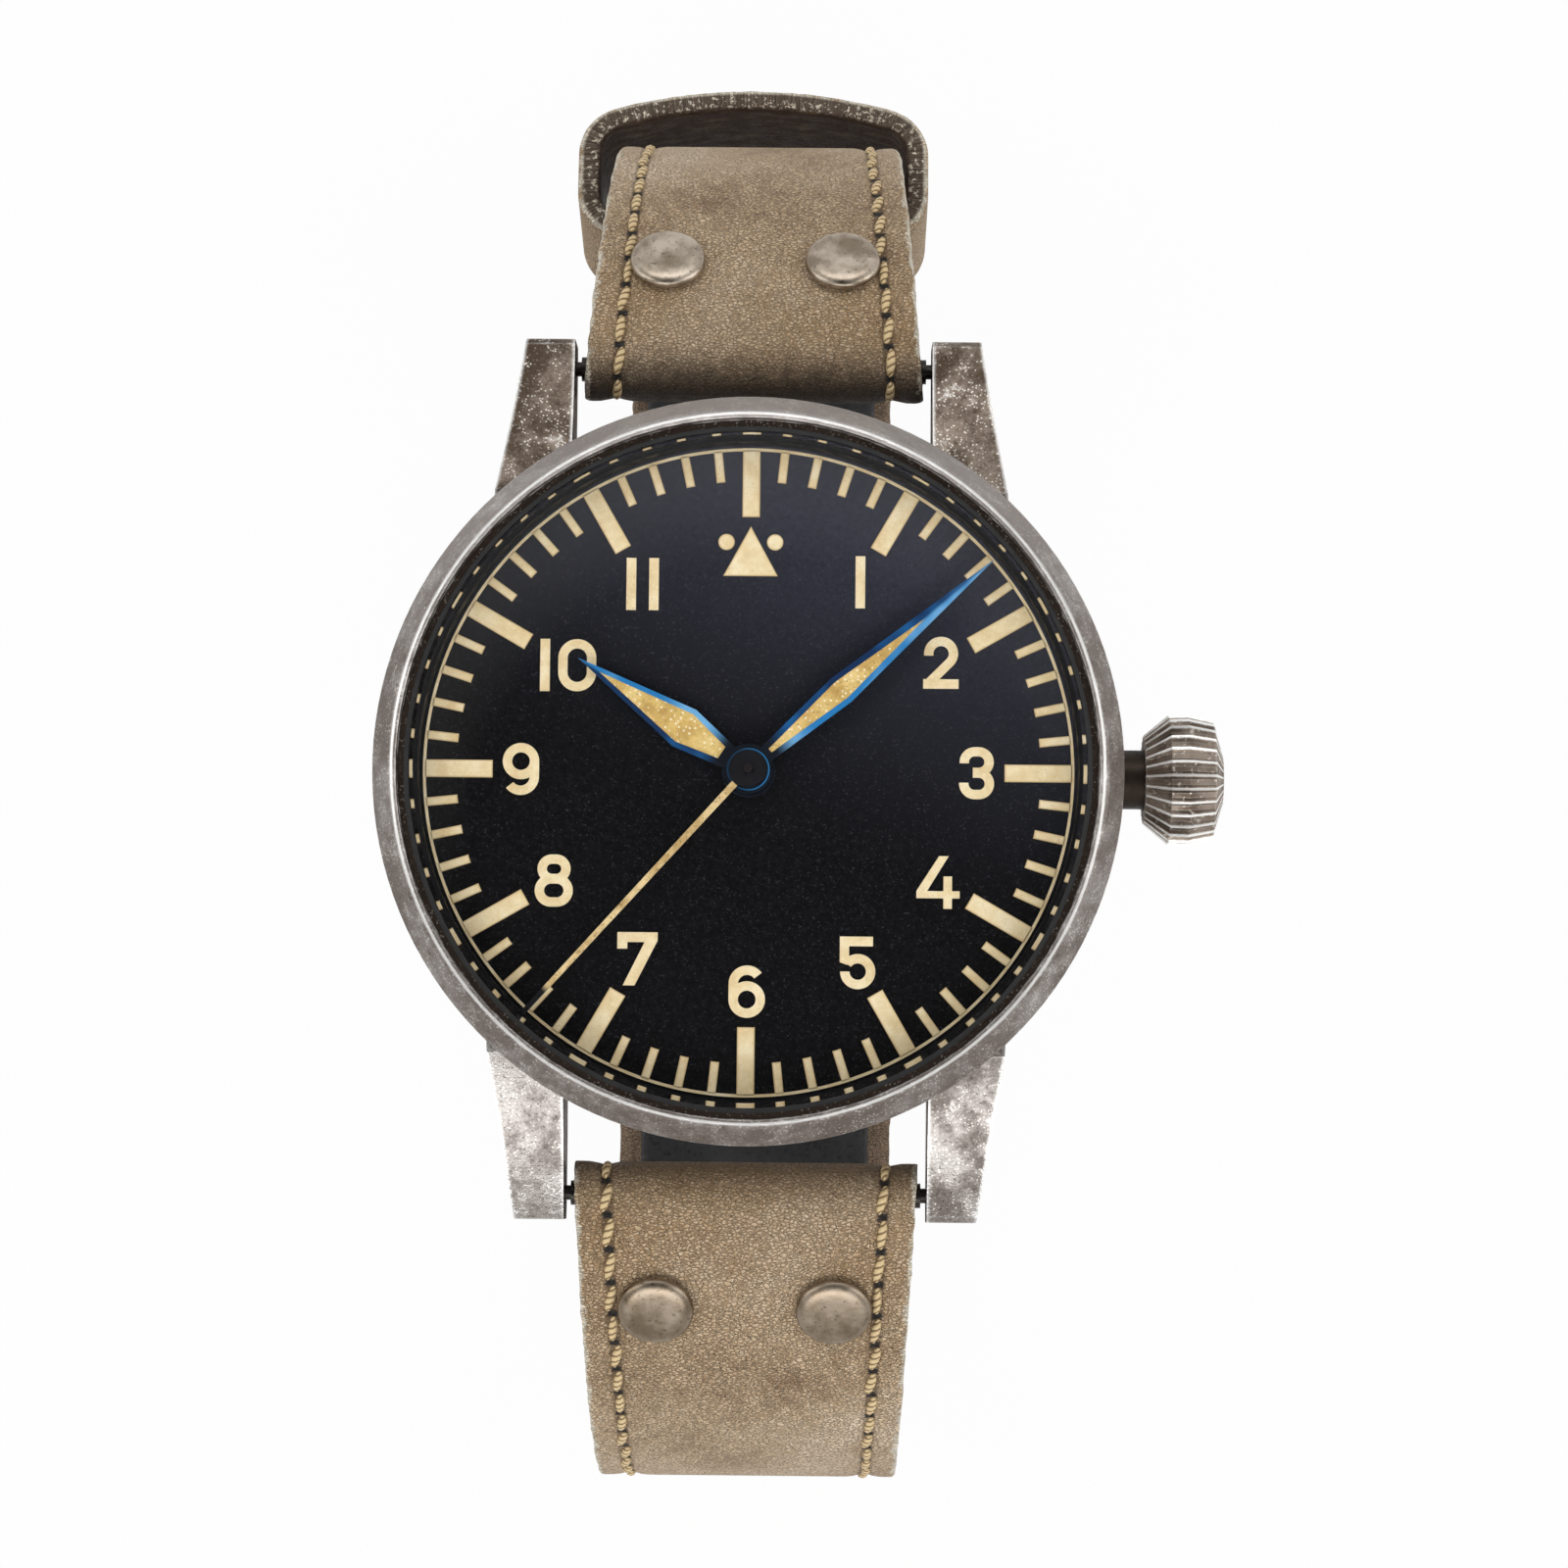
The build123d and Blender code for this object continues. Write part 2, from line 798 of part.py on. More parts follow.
def jewel_places():
    # (x, y, low) of each pressed jewel
    low_side = bridge_high - jewel_height
    places = [(*p, low_side) for p in (third_place, escape_place, balance_place, centre)]
    places += [(*pallet_place, pallet_bridge_low)]
    places += [(*p, plate_low) for p in (third_place, escape_place, pallet_place, balance_place)]
    return places


def jewels():
    stones = []
    for x, y, low in jewel_places():
        height = pallet_bridge_high - pallet_bridge_low if low == pallet_bridge_low else jewel_height
        bore = seconds_arbor_radius + running_gap if (x, y) == centre else jewel_bore
        stones.append(tube(jewel_radius, bore, low, low + height, (x, y)))
    return Part() + stones


def main_plate():
    body = drum(plate_radius, plate_low, plate_high)
    for x, y, low in jewel_places():
        if low == plate_low:
            body -= drum(jewel_radius, plate_low - overrun, plate_low + jewel_height, (x, y))
    body -= drum(centre_arbor_radius + running_gap, plate_low - overrun, plate_high + overrun)
    body -= drum(barrel_arbor_radius - drum_wall + running_gap, plate_low - overrun,
                 plate_low + pivot_length + level_gap, barrel_place)
    body -= along_x(stem_radius + running_gap, stem_end - overrun, plate_radius + overrun)
    clutch_end = clutch_start + clutch_length
    body -= along_x(clutch_radius + level_gap, clutch_start - level_gap, clutch_end + level_gap)
    pinion_room = pinion_pitch_radius * (1 + 2 * addendum_share / pinion_teeth) + level_gap
    body -= along_x(pinion_room, winding_start - level_gap, winding_start + winding_length + level_gap)
    for place, high in ((minute_place, minute_pinion_high), (setting_place, motion_high)):
        body += drum(post_radius, plate_high, high, place)
    body += drum(post_radius, setting_lever_low, plate_low, setting_pivot)
    return body


motion_low = 6.5
motion_high = 6.85
hour_wheel_low = 6.95
hour_wheel_high = 7.2
minute_pinion_high = 7.3
beyond_split = 40.0


def half_plane(angle, reach, low, high):
    # a large block on the far side of a line that lies at a reach from the middle, square to an angle
    side = block((reach, reach + beyond_split), (-beyond_split, beyond_split), (low, high))
    return Rot(0, 0, angle) * side


def pillars(places, radius, low):
    posts = [drum(radius, low, plate_low, place) for place in places]
    return Part() + posts


def screwed(body, places, low):
    for place in places:
        body -= drum(screw_head + running_gap, low - overrun, low + screw_head_height, place)
    return body


def barrel_bridge():
    body = drum(bridge_radius, bridge_low, bridge_high)
    body &= half_plane(barrel_angle, split_line + bridge_gap / 2, bridge_low, bridge_high)
    body += pillars(barrel_pillars, pillar_radius, bridge_high - level_gap)
    body -= drum(face_outer + level_gap, bridge_low - overrun, bridge_high + overrun, crown_wheel_centre)
    body -= drum(barrel_arbor_radius - drum_wall + running_gap, bridge_low - overrun,
                 bridge_high + overrun, barrel_place)
    body += drum(post_radius, ratchet_low, bridge_low, click_pivot)
    return screwed(body, barrel_pillars, bridge_low)


def train_bridge():
    body = drum(bridge_radius, bridge_low, bridge_high)
    body &= half_plane(barrel_angle + 180, bridge_gap / 2 - split_line, bridge_low, bridge_high)
    body &= half_plane(90, train_edge + bridge_gap / 2, bridge_low, bridge_high)
    body += pillars(train_pillars, pillar_radius, bridge_high - level_gap)
    for place in (third_place, escape_place, centre):
        body -= drum(jewel_radius, bridge_low - overrun, bridge_high + overrun, place)
    return screwed(body, train_pillars, bridge_low)


def balance_cock():
    body = prism(arm_outline(cock_pillar, balance_place, cock_width, cock_width), bridge_low, bridge_high)
    body += drum(cock_width, bridge_low, bridge_high, balance_place)
    body += drum(cock_width, bridge_low, plate_low, cock_pillar)
    body -= drum(jewel_radius, bridge_low - overrun, bridge_high + overrun, balance_place)
    return screwed(body, (cock_pillar,), bridge_low)


def pallet_bridge():
    body = Part()
    for post in pallet_pillars:
        arm = arm_outline(pallet_place, post, pallet_pillar_radius, pallet_pillar_radius)
        body += prism(arm, pallet_bridge_low, pallet_bridge_high)
        body += drum(pallet_pillar_radius, pallet_bridge_low, plate_low, post)
    body += drum(jewel_radius + drum_wall, pallet_bridge_low, pallet_bridge_high, pallet_place)
    return body - drum(jewel_radius, pallet_bridge_low - overrun, pallet_bridge_high + overrun, pallet_place)


def bridge_screws():
    heads = []
    for place in barrel_pillars + train_pillars + (cock_pillar,):
        head = drum(screw_head, bridge_low, bridge_low + screw_head_height, place)
        slot = block((-overrun, overrun), (-screw_slot / 2, screw_slot / 2),
                     (bridge_low - overrun, bridge_low + screw_head_height / 2))
        heads.append(head - Pos(*place, 0) * slot)
    return Part() + heads


# Train

def pinned_wheel(place, wheel, pinion):
    # a wheel and its pinion, each given as teeth, module, low, high and phase
    body = Part()
    for teeth, module, low, high, phase in (wheel, pinion):
        body += toothed(teeth, module, low, high, place, phase)
    return body


centre_phase = 0.0
third_leaf_phase = mesh_phase(centre_teeth, centre_phase, third_angle, third_leaves)
third_phase = 0.0
fourth_leaf_phase = mesh_phase(third_teeth, third_phase, third_angle + 180, fourth_leaves)
fourth_phase = 0.0
escape_leaf_phase = mesh_phase(fourth_teeth, fourth_phase, escape_angle, escape_leaves)
centre_leaf_phase = 0.0
barrel_phase = mesh_phase(centre_leaves, centre_leaf_phase, barrel_angle, barrel_teeth)
cannon_phase = 0.0
minute_phase = mesh_phase(cannon_leaves, cannon_phase, 0, minute_teeth)
minute_leaf_phase = 0.0
hour_phase = mesh_phase(minute_leaves, minute_leaf_phase, 180, hour_teeth)
setting_phase = mesh_phase(minute_teeth, minute_phase, 0, setting_teeth)


def barrel_drum():
    body = toothed(barrel_teeth, barrel_module, barrel_tooth_low, barrel_tooth_low + barrel_tooth_height,
                   barrel_place, barrel_phase)
    body += drum(drum_radius, drum_low, drum_high, barrel_place)
    body -= drum(drum_radius - drum_wall, drum_low - overrun, drum_high - drum_floor, barrel_place)
    return body - drum(barrel_arbor_radius + running_gap, drum_low, drum_high + overrun, barrel_place)


def barrel_cover():
    return tube(drum_radius - drum_wall, barrel_arbor_radius + running_gap, drum_low, drum_low + drum_floor,
                barrel_place)


def mainspring():
    return spiral_strip(mainspring_inner, mainspring_pitch, mainspring_turns, mainspring_strip,
                        drum_low + drum_floor + level_gap, drum_high - drum_floor - level_gap, barrel_place)


def centre_wheel():
    leaf_low = barrel_tooth_low - leaf_overrun
    wheel = (centre_teeth, centre_module, centre_low, centre_low + centre_disc, centre_phase)
    pinion = (centre_leaves, barrel_module, leaf_low, centre_low, centre_leaf_phase)
    body = pinned_wheel(centre, wheel, pinion)
    body += drum(centre_arbor_radius, leaf_low, minute_hand_low + hand_thickness)
    return body - drum(seconds_arbor_radius + running_gap, leaf_low - overrun, seconds_arbor_top)


def cannon_pinion():
    body = toothed(cannon_leaves, motion_module, motion_low, motion_high, centre, cannon_phase)
    body += drum(cannon_tube_radius, motion_low, minute_hand_low + hand_thickness)
    return body - drum(centre_arbor_radius, motion_low - overrun, seconds_arbor_top)


def minute_wheel():
    wheel = (minute_teeth, motion_module, motion_low, motion_high - 2 * level_gap, minute_phase)
    pinion = (minute_leaves, hour_module, motion_low, minute_pinion_high - level_gap, minute_leaf_phase)
    body = pinned_wheel(minute_place, wheel, pinion)
    return body - drum(post_radius + running_gap, motion_low - overrun, minute_pinion_high, minute_place)


def hour_wheel():
    body = toothed(hour_teeth, hour_module, hour_wheel_low, hour_wheel_high, centre, hour_phase)
    body += drum(hour_tube_radius, hour_wheel_low, hour_hand_low + hand_thickness)
    return body - drum(cannon_tube_radius + running_gap, hour_wheel_low - overrun, seconds_arbor_top)


def setting_wheel():
    body = toothed(setting_teeth, motion_module, motion_low, motion_high - 2 * level_gap, setting_place,
                   setting_phase)
    return body - drum(post_radius + running_gap, motion_low - overrun, motion_high, setting_place)


def third_wheel():
    wheel = (third_teeth, third_module, third_low, third_low + third_disc, third_phase)
    leaf_high = centre_low + centre_disc + leaf_overrun
    pinion = (third_leaves, centre_module, centre_low - leaf_overrun, leaf_high, third_leaf_phase)
    body = pinned_wheel(third_place, wheel, pinion)
    return body + arbor(third_place, bridge_high + level_gap, plate_low - level_gap)


def fourth_wheel():
    wheel = (fourth_teeth, fourth_module, fourth_low, fourth_low + fourth_disc, fourth_phase)
    pinion = (fourth_leaves, third_module, third_low - leaf_overrun, third_low + third_disc + leaf_overrun,
              fourth_leaf_phase)
    body = pinned_wheel(centre, wheel, pinion)
    return body + drum(seconds_arbor_radius, bridge_high - pivot_length, seconds_arbor_top)


def escape_wheel():
    # raked teeth on a thin web
    step = 360 / escape_teeth
    points = []
    for tooth in range(escape_teeth):
        for share, height_share in rake_shares:
            reach = escape_radius * (rim_share + (1 - rim_share) * height_share)
            points.append(polar(reach, (tooth + share) * step, escape_place))
    body = prism(points, escape_low, escape_low + escape_disc)
    body += toothed(escape_leaves, fourth_module, fourth_low - leaf_overrun,
                    fourth_low + fourth_disc + leaf_overrun, escape_place, escape_leaf_phase)
    return body + arbor(escape_place, bridge_high + level_gap, plate_low - level_gap)


def pallet_fork():
    # the lever's arms reach the escape wheel on each side, and its tail ends in a slotted head
    high = lever_low + lever_thickness
    half = lever_width / 2
    slot_place = polar(lever_reach - impulse_place, lever_angle, pallet_place)
    slot_end = polar(lever_width + overrun, lever_angle, slot_place)
    body = drum(lever_width, lever_low, high, pallet_place)
    body += prism(arm_outline(pallet_place, slot_place, half, half), lever_low, high)
    body += drum(lever_width, lever_low, high, slot_place)
    body -= prism(arm_outline(slot_place, slot_end, lever_notch / 2, lever_notch / 2), lever_low - overrun,
                  high + overrun)
    for side in (-1, 1):
        stone_angle = lever_angle + side * stone_turn
        inner_end = polar(escape_radius + stone_gap, stone_angle, escape_place)
        outer_end = polar(escape_radius + stone_gap + stone_length, stone_angle, escape_place)
        middle = polar(escape_radius + stone_gap + stone_length / 2, stone_angle, escape_place)
        body += prism(arm_outline(inner_end, outer_end, stone_width / 2, stone_width / 2), lever_low, high)
        body += prism(arm_outline(pallet_place, middle, half, half / 2), lever_low, high)
    body += drum(arbor_radius, pallet_bridge_high + level_gap, plate_low - level_gap, pallet_place)
    return body + drum(pivot_radius, pallet_bridge_low + level_gap, plate_low + pivot_length - level_gap,
                       pallet_place)


def balance_wheel():
    high = balance_low + balance_height
    body = tube(balance_radius, balance_radius - balance_rim, balance_low, high, balance_place)
    body += drum(balance_hub, balance_low, high, balance_place)
    reach = balance_radius - balance_rim / 2
    body += Pos(*balance_place, balance_low) * Box(2 * reach, balance_arm, balance_height, align=low_align)
    body += drum(roller_radius, roller_low, roller_low + roller_height, balance_place)
    impulse = polar(impulse_place, lever_angle + 180, balance_place)
    body += drum(impulse_radius, roller_low, lever_low - level_gap, impulse)
    return body + arbor(balance_place, bridge_high + level_gap, plate_low - level_gap)


def hairspring():
    return spiral_strip(hairspring_inner, hairspring_pitch, hairspring_turns, hairspring_strip,
                        hairspring_low, hairspring_low + hairspring_height, balance_place)


# Strap. In the Y-Z plane each piece runs from its spring bar over an upper bend to a flat back.

roll_radius = bar_radius + roll_wall
strap_thickness = leather + lining
slope = radians(roll_slope)
bend_start = (bar_offset + roll_radius * sin(slope), bar_height + roll_radius * cos(slope))
upper_bend = (strap_reach - bend_start[0]) / (1 - sin(slope))
upper_centre = (strap_reach - upper_bend, bend_start[1] - upper_bend * cos(slope))
flap_radius = upper_bend - strap_thickness
back_level = upper_centre[1] - upper_lower_bend
tail_level = back_level - strap_thickness - layer_gap
tail_lower_bend = upper_centre[1] - tail_level


def sector(centre_yz, outer, inner, start, end, half_width):
    # part of a bent strip: angles run from +Y towards +Z
    y, z = centre_yz
    swing = end - start
    first = CenterArc((y, z), outer, start, swing)
    second = CenterArc((y, z), inner, start, swing)
    ends = [Line(first @ 0, second @ 0), Line(first @ 1, second @ 1)]
    face = make_face([first, second] + ends)
    return extrude(Plane.YZ * face, amount=half_width, both=True)


def tapered(strip, back_width):
    # cuts the upper bend to its taper, from the full width at the lugs to the back's width
    wide = strap_width / 2
    narrow = back_width / 2
    root = bar_offset - roll_radius
    end = strap_reach + overrun
    outline = [(wide, root), (narrow, strap_reach), (narrow, end), (-narrow, end), (-narrow, strap_reach),
               (-wide, root)]
    return strip & prism(outline, upper_centre[1] - overrun, case_top)


def strap_run(depth, thickness, half_upper, half_back, lower_bend, flat_end):
    # one ply: its outer face lies at a depth below the strap's outer face
    lower_centre = (strap_reach - lower_bend, upper_centre[1])
    outside = upper_bend - depth
    upper = sector(upper_centre, outside, outside - thickness, 0, 90 - roll_slope, half_upper)
    outside = lower_bend - depth
    lower = sector(lower_centre, outside, outside - thickness, -90, 0, half_back)
    level = upper_centre[1] - lower_bend + depth
    flat = block((-half_back, half_back), (flat_end, lower_centre[0]), (level, level + thickness))
    return upper, lower + flat


def rivet_spots():
    # each rivet's place on the upper bend, with Z out of the leather
    down = slope + rivet_run / upper_bend
    y = upper_centre[0] + upper_bend * sin(down)
    z = upper_centre[1] + upper_bend * cos(down)
    for side in (-1, 1):
        yield Pos(side * rivet_spread / 2, y, z) * Rot(-degrees(down), 0, 0)


def rivet_body():
    # turned about Z, with z = 0 on the leather's face: a shallow dome with a rolled rim, a shank, a washer
    brow = (rivet_cap - rivet_rim, rivet_rim_height)
    brim = (rivet_cap, rivet_sink)
    washer_low = -washer_seat - rivet_washer_height
    edges = [
        SagittaArc((0, rivet_dome), brow, -rivet_dome_bulge),
        SagittaArc(brow, brim, -rivet_rim_bulge),
        Polyline(brim, (rivet_shank, rivet_sink), (rivet_shank, -washer_seat), (rivet_washer, -washer_seat),
                 (rivet_washer, washer_low), (0, washer_low), (0, rivet_dome)),
    ]
    return revolve(Plane.XZ * make_face(edges), Axis.Z)


washer_seat = strap_thickness + rivet_washer ** 2 / (2 * (upper_bend - strap_thickness)) + rivet_sink


def strap_rivets():
    upper = [spot * rivet_body() for spot in rivet_spots()]
    lower = [mirror(rivet, about=Plane.XZ) for rivet in upper]
    return Part() + upper + lower


def riveted(strip):
    for spot in rivet_spots():
        strip -= spot * Cylinder(rivet_shank, 4 * strap_thickness)
    return strip


def bent_leather(lower_bend, flat_end, back_width):
    upper, back = strap_run(0, leather, strap_width / 2, back_width / 2, lower_bend, flat_end)
    bend_end = 90 - roll_slope
    flap = sector(upper_centre, upper_bend - leather, flap_radius, bend_end - degrees(flap_run / flap_radius),
                  bend_end, strap_width / 2)
    roll = across(roll_radius, strap_width / 2, bar_offset, bar_height)
    body = riveted(tapered(upper + flap, back_width)) + roll + back
    return body - across(bar_radius + running_gap, strap_width, bar_offset, bar_height)


def bent_lining(lower_bend, flat_end):
    # the lining ends a short gap before the leather's turned-in flap
    upper, back = strap_run(leather, lining, lining_width / 2, lining_width / 2, lower_bend, flat_end)
    lining_end = 90 - roll_slope - degrees((flap_run + flap_gap) / flap_radius)
    cut = sector(upper_centre, upper_bend, upper_bend - 2 * strap_thickness, lining_end, 90, strap_width)
    return upper - cut + back


def upper_strap_leather():
    body = bent_leather(upper_lower_bend, buckle_bar_place, upper_back_width)
    eye = across(buckle_eye, upper_back_width / 2, buckle_bar_place, bar_level)
    body += eye
    body -= across(buckle_bar_radius + running_gap, strap_width, buckle_bar_place, bar_level)
    slot_half = buckle_slot_width / 2
    slot_end = buckle_bar_place + buckle_eye + overrun
    return body - block((-slot_half, slot_half), (buckle_bar_place - strap_thickness, slot_end),
                        (back_level - overrun, back_level + 2 * strap_thickness))


bar_level = back_level + buckle_eye


def upper_strap_lining():
    return bent_lining(upper_lower_bend, buckle_bar_place + 2 * buckle_eye)


def tail_hole(number):
    # an oval adjusting hole through the lower strap's flat run
    y = tongue_hole_place + (number - hole_count // 3) * hole_pitch
    run = (hole_length - hole_width) / 2
    hole = block((-hole_width / 2, hole_width / 2), (y - run, y + run), (tail_level - overrun, back_level))
    for end in (y - run, y + run):
        hole += drum(hole_width / 2, tail_level - overrun, back_level, (0, end))
    return hole


def pointed(strip):
    # cuts the tail to its pointed end; the strip lies mirrored, so its tail runs towards -Y
    half = lower_back_width / 2
    tip = half * tail_tip_share
    shoulder = tail_point - tail_end
    outline = [(-tip, -tail_end), (tip, -tail_end), (half, shoulder), (strap_width, shoulder),
               (strap_width, 2 * strap_reach), (-strap_width, 2 * strap_reach), (-strap_width, shoulder),
               (-half, shoulder)]
    return strip & prism(outline, tail_level - overrun, case_top)


def lower_strap_leather():
    body = mirror(pointed(bent_leather(tail_lower_bend, -tail_end, lower_back_width)), about=Plane.XZ)
    for number in range(hole_count):
        body -= tail_hole(number)
    return body


def lower_strap_lining():
    body = mirror(pointed(bent_lining(tail_lower_bend, -tail_end)), about=Plane.XZ)
    for number in range(hole_count):
        body -= tail_hole(number)
    return body


# Buckle and keepers

tongue_hole_place = buckle_bar_place - tongue_drop
frame_low = tail_level - frame_gap - frame_bar_height
frame_half = lower_back_width / 2 + frame_gap


def buckle_bar():
    return across(buckle_bar_radius, frame_half + frame_wall, buckle_bar_place, bar_level)


def buckle_frame():
    # two arms slope past the strap's edges from the bar to the cross bar outside the tail
    y_bar = buckle_bar_place
    y_far = buckle_bar_place - frame_reach
    arm = side_profile([
        (y_bar + buckle_eye, bar_level + buckle_eye * frame_ear_share),
        (y_bar - buckle_eye, bar_level + buckle_eye),
        (y_far, frame_low + frame_bar_height),
        (y_far, frame_low),
        (y_far + 2 * frame_bar_height, frame_low),
        (y_bar + buckle_eye, bar_level - buckle_eye),
    ], frame_half + frame_wall)
    arm -= block((-frame_half, frame_half), (-strap_reach, strap_reach), (frame_low - overrun, 0))
    y_end = y_far + 2 * frame_bar_height
    cross = block((-frame_half - overrun / 2, frame_half + overrun / 2), (y_far, y_end),
                  (frame_low, frame_low + frame_bar_height))
    seat_half = tongue_width / 2 + frame_gap
    seat = block((-seat_half, seat_half), (y_far - overrun, y_end + overrun), (frame_low - overrun, tongue_rest))
    body = arm + cross - seat
    return body - across(buckle_bar_radius, strap_width, buckle_bar_place, bar_level)


tongue_rest = frame_low + tongue_tip_height + running_gap


def buckle_tongue():
    # an eye round the bar, a drop through the tail's hole, and a tip that lies in the cross bar's seat
    half = tongue_width / 2
    y_drop = tongue_hole_place
    y_tip = buckle_bar_place - frame_reach - half
    low = frame_low + running_gap / 2
    high = low + tongue_tip_height
    body = side_profile([
        (buckle_bar_place, bar_level + half), (y_drop - half, bar_level + half),
        (y_drop - half, high), (y_tip, high), (y_tip, low),
        (y_drop + half, low), (y_drop + half, bar_level - half), (buckle_bar_place, bar_level - half),
    ], half)
    body += across(buckle_bar_radius + half, half, buckle_bar_place, bar_level)
    return body - across(buckle_bar_radius + running_gap, strap_width, buckle_bar_place, bar_level)


def fixed_keeper():
    low = tail_level - keeper_gap
    high = back_level + strap_thickness + keeper_gap
    half = lower_back_width / 2 + keeper_gap
    outer = RectangleRounded(2 * (half + keeper_wall), high - low + 2 * keeper_wall, keeper_corner)
    loop = outer - RectangleRounded(2 * half, high - low, keeper_corner / 2)
    solid = extrude(loop, amount=fixed_keeper_width / 2, both=True)
    return Pos(0, fixed_keeper_place, (low + high) / 2) * Rot(90, 0, 0) * solid


def free_keeper():
    # a loose loop with an arched outer wall, tilted with the strap where the lower bend begins
    half = upper_back_width / 2 + free_keeper_side
    near = -strap_thickness - free_keeper_slack
    shoulder = free_keeper_room - free_keeper_bulge
    edges = [Polyline((-half, shoulder), (-half, near), (half, near), (half, shoulder)),
             SagittaArc((-half, shoulder), (half, shoulder), free_keeper_bulge)]
    hole = make_face(edges)
    hole = fillet(hole.vertices(), free_keeper_corner)
    loop = offset(hole, keeper_wall) - hole
    tilt = radians(free_keeper_tilt)
    y = strap_reach - upper_lower_bend * (1 - cos(tilt))
    middle = (0, y, upper_centre[1] - upper_lower_bend * sin(tilt))
    place = Plane(origin=middle, x_dir=(1, 0, 0), z_dir=(0, sin(tilt), cos(tilt)))
    return extrude(place * loop, amount=free_keeper_width / 2, both=True)


def spring_bars():
    bars = []
    for end in (-1, 1):
        y = end * bar_offset
        bar = across(bar_radius, lug_gap / 2 - bar_end_gap, y, bar_height)
        bar += across(bar_pivot_radius, lug_gap / 2 + bar_pivot_length, y, bar_height)
        bars.append(bar)
    return Part() + bars


hour_hand, hour_lume = hand(hour_length, hour_width, hour_widest, hour_neck, hour_hub, hour_tube_radius,
                            hour_hand_low, hour_angle, hour_tip_share)
minute_hand, minute_lume = hand(minute_length, minute_width, minute_widest, minute_neck, minute_hub,
                                cannon_tube_radius, minute_hand_low, minute_angle, minute_tip_share)

nodes = {
    "case_middle": case_middle(),
    "bezel": bezel(),
    "crystal": crystal(),
    "crystal_gasket": crystal_gasket(),
    "flange_ring": flange_ring(),
    "case_back": case_back(),
    "back_gasket": back_gasket(),
    "movement_ring": movement_ring(),
    "casing_clamps": clamp_set(),
    "dial": dial(),
    "hour_hand": hour_hand,
    "hour_hand_lume": hour_lume,
    "minute_hand": minute_hand,
    "minute_hand_lume": minute_lume,
    "seconds_hand": seconds_hand(),
    "crown": crown(),
    "crown_gasket": crown_gasket(),
    "crown_tube": crown_tube(),
    "winding_stem": winding_stem(),
    "sliding_clutch": sliding_clutch(),
    "winding_pinion": winding_pinion(),
    "crown_wheel": crown_wheel(),
    "ratchet_wheel": ratchet_wheel(),
    "click": click(),
    "setting_lever": setting_lever(),
    "setting_wheel": setting_wheel(),
    "clutch_yoke": clutch_yoke(),
    "main_plate": main_plate(),
    "barrel_bridge": barrel_bridge(),
    "train_bridge": train_bridge(),
    "balance_cock": balance_cock(),
    "pallet_bridge": pallet_bridge(),
    "bridge_screws": bridge_screws(),
    "jewels": jewels(),
    "barrel_drum": barrel_drum(),
    "barrel_cover": barrel_cover(),
    "barrel_arbor": barrel_arbor(),
    "mainspring": mainspring(),
    "centre_wheel": centre_wheel(),
    "cannon_pinion": cannon_pinion(),
    "minute_wheel": minute_wheel(),
    "hour_wheel": hour_wheel(),
    "third_wheel": third_wheel(),
    "fourth_wheel": fourth_wheel(),
    "escape_wheel": escape_wheel(),
    "pallet_fork": pallet_fork(),
    "balance_wheel": balance_wheel(),
    "hairspring": hairspring(),
    "spring_bars": spring_bars(),
    "upper_strap_leather": upper_strap_leather(),
    "upper_strap_lining": upper_strap_lining(),
    "lower_strap_leather": lower_strap_leather(),
    "lower_strap_lining": lower_strap_lining(),
    "strap_rivets": strap_rivets(),
    "fixed_keeper": fixed_keeper(),
    "free_keeper": free_keeper(),
    "buckle_bar": buckle_bar(),
    "buckle_frame": buckle_frame(),
    "buckle_tongue": buckle_tongue(),
}

for name, shape in nodes.items():
    export_step(shape, "parts/" + name + ".step")

print("spring gaps between turns:", round(hairspring_pitch - hairspring_strip, 3),
      round(mainspring_pitch - mainspring_strip, 3))
print("lowest point of the buckle:", round(frame_low, 3), "strap back level:", round(back_level, 3))
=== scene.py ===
import json
import math
import random

import bpy
from mathutils import Matrix, Vector, noise


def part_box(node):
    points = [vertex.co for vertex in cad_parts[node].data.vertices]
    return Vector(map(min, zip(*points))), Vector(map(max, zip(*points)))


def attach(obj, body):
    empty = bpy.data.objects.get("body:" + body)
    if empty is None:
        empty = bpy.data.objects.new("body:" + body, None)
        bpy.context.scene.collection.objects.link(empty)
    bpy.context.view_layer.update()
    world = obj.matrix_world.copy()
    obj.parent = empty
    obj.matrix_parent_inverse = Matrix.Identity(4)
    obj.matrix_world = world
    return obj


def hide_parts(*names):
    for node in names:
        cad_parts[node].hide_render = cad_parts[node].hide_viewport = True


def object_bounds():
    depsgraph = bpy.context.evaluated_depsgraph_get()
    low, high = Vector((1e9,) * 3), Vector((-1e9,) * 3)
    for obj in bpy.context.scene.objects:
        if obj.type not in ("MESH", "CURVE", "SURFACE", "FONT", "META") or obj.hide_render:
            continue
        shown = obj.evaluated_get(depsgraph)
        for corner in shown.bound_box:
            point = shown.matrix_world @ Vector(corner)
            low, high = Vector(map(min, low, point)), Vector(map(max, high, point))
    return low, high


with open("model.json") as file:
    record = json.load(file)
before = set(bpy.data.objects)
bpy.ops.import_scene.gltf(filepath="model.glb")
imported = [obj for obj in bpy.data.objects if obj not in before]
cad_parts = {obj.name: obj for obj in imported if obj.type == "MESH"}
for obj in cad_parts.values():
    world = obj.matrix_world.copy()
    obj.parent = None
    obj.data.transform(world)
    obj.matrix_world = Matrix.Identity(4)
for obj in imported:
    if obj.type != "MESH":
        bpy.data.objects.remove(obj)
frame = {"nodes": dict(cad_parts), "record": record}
nodes = frame["nodes"]
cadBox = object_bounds()
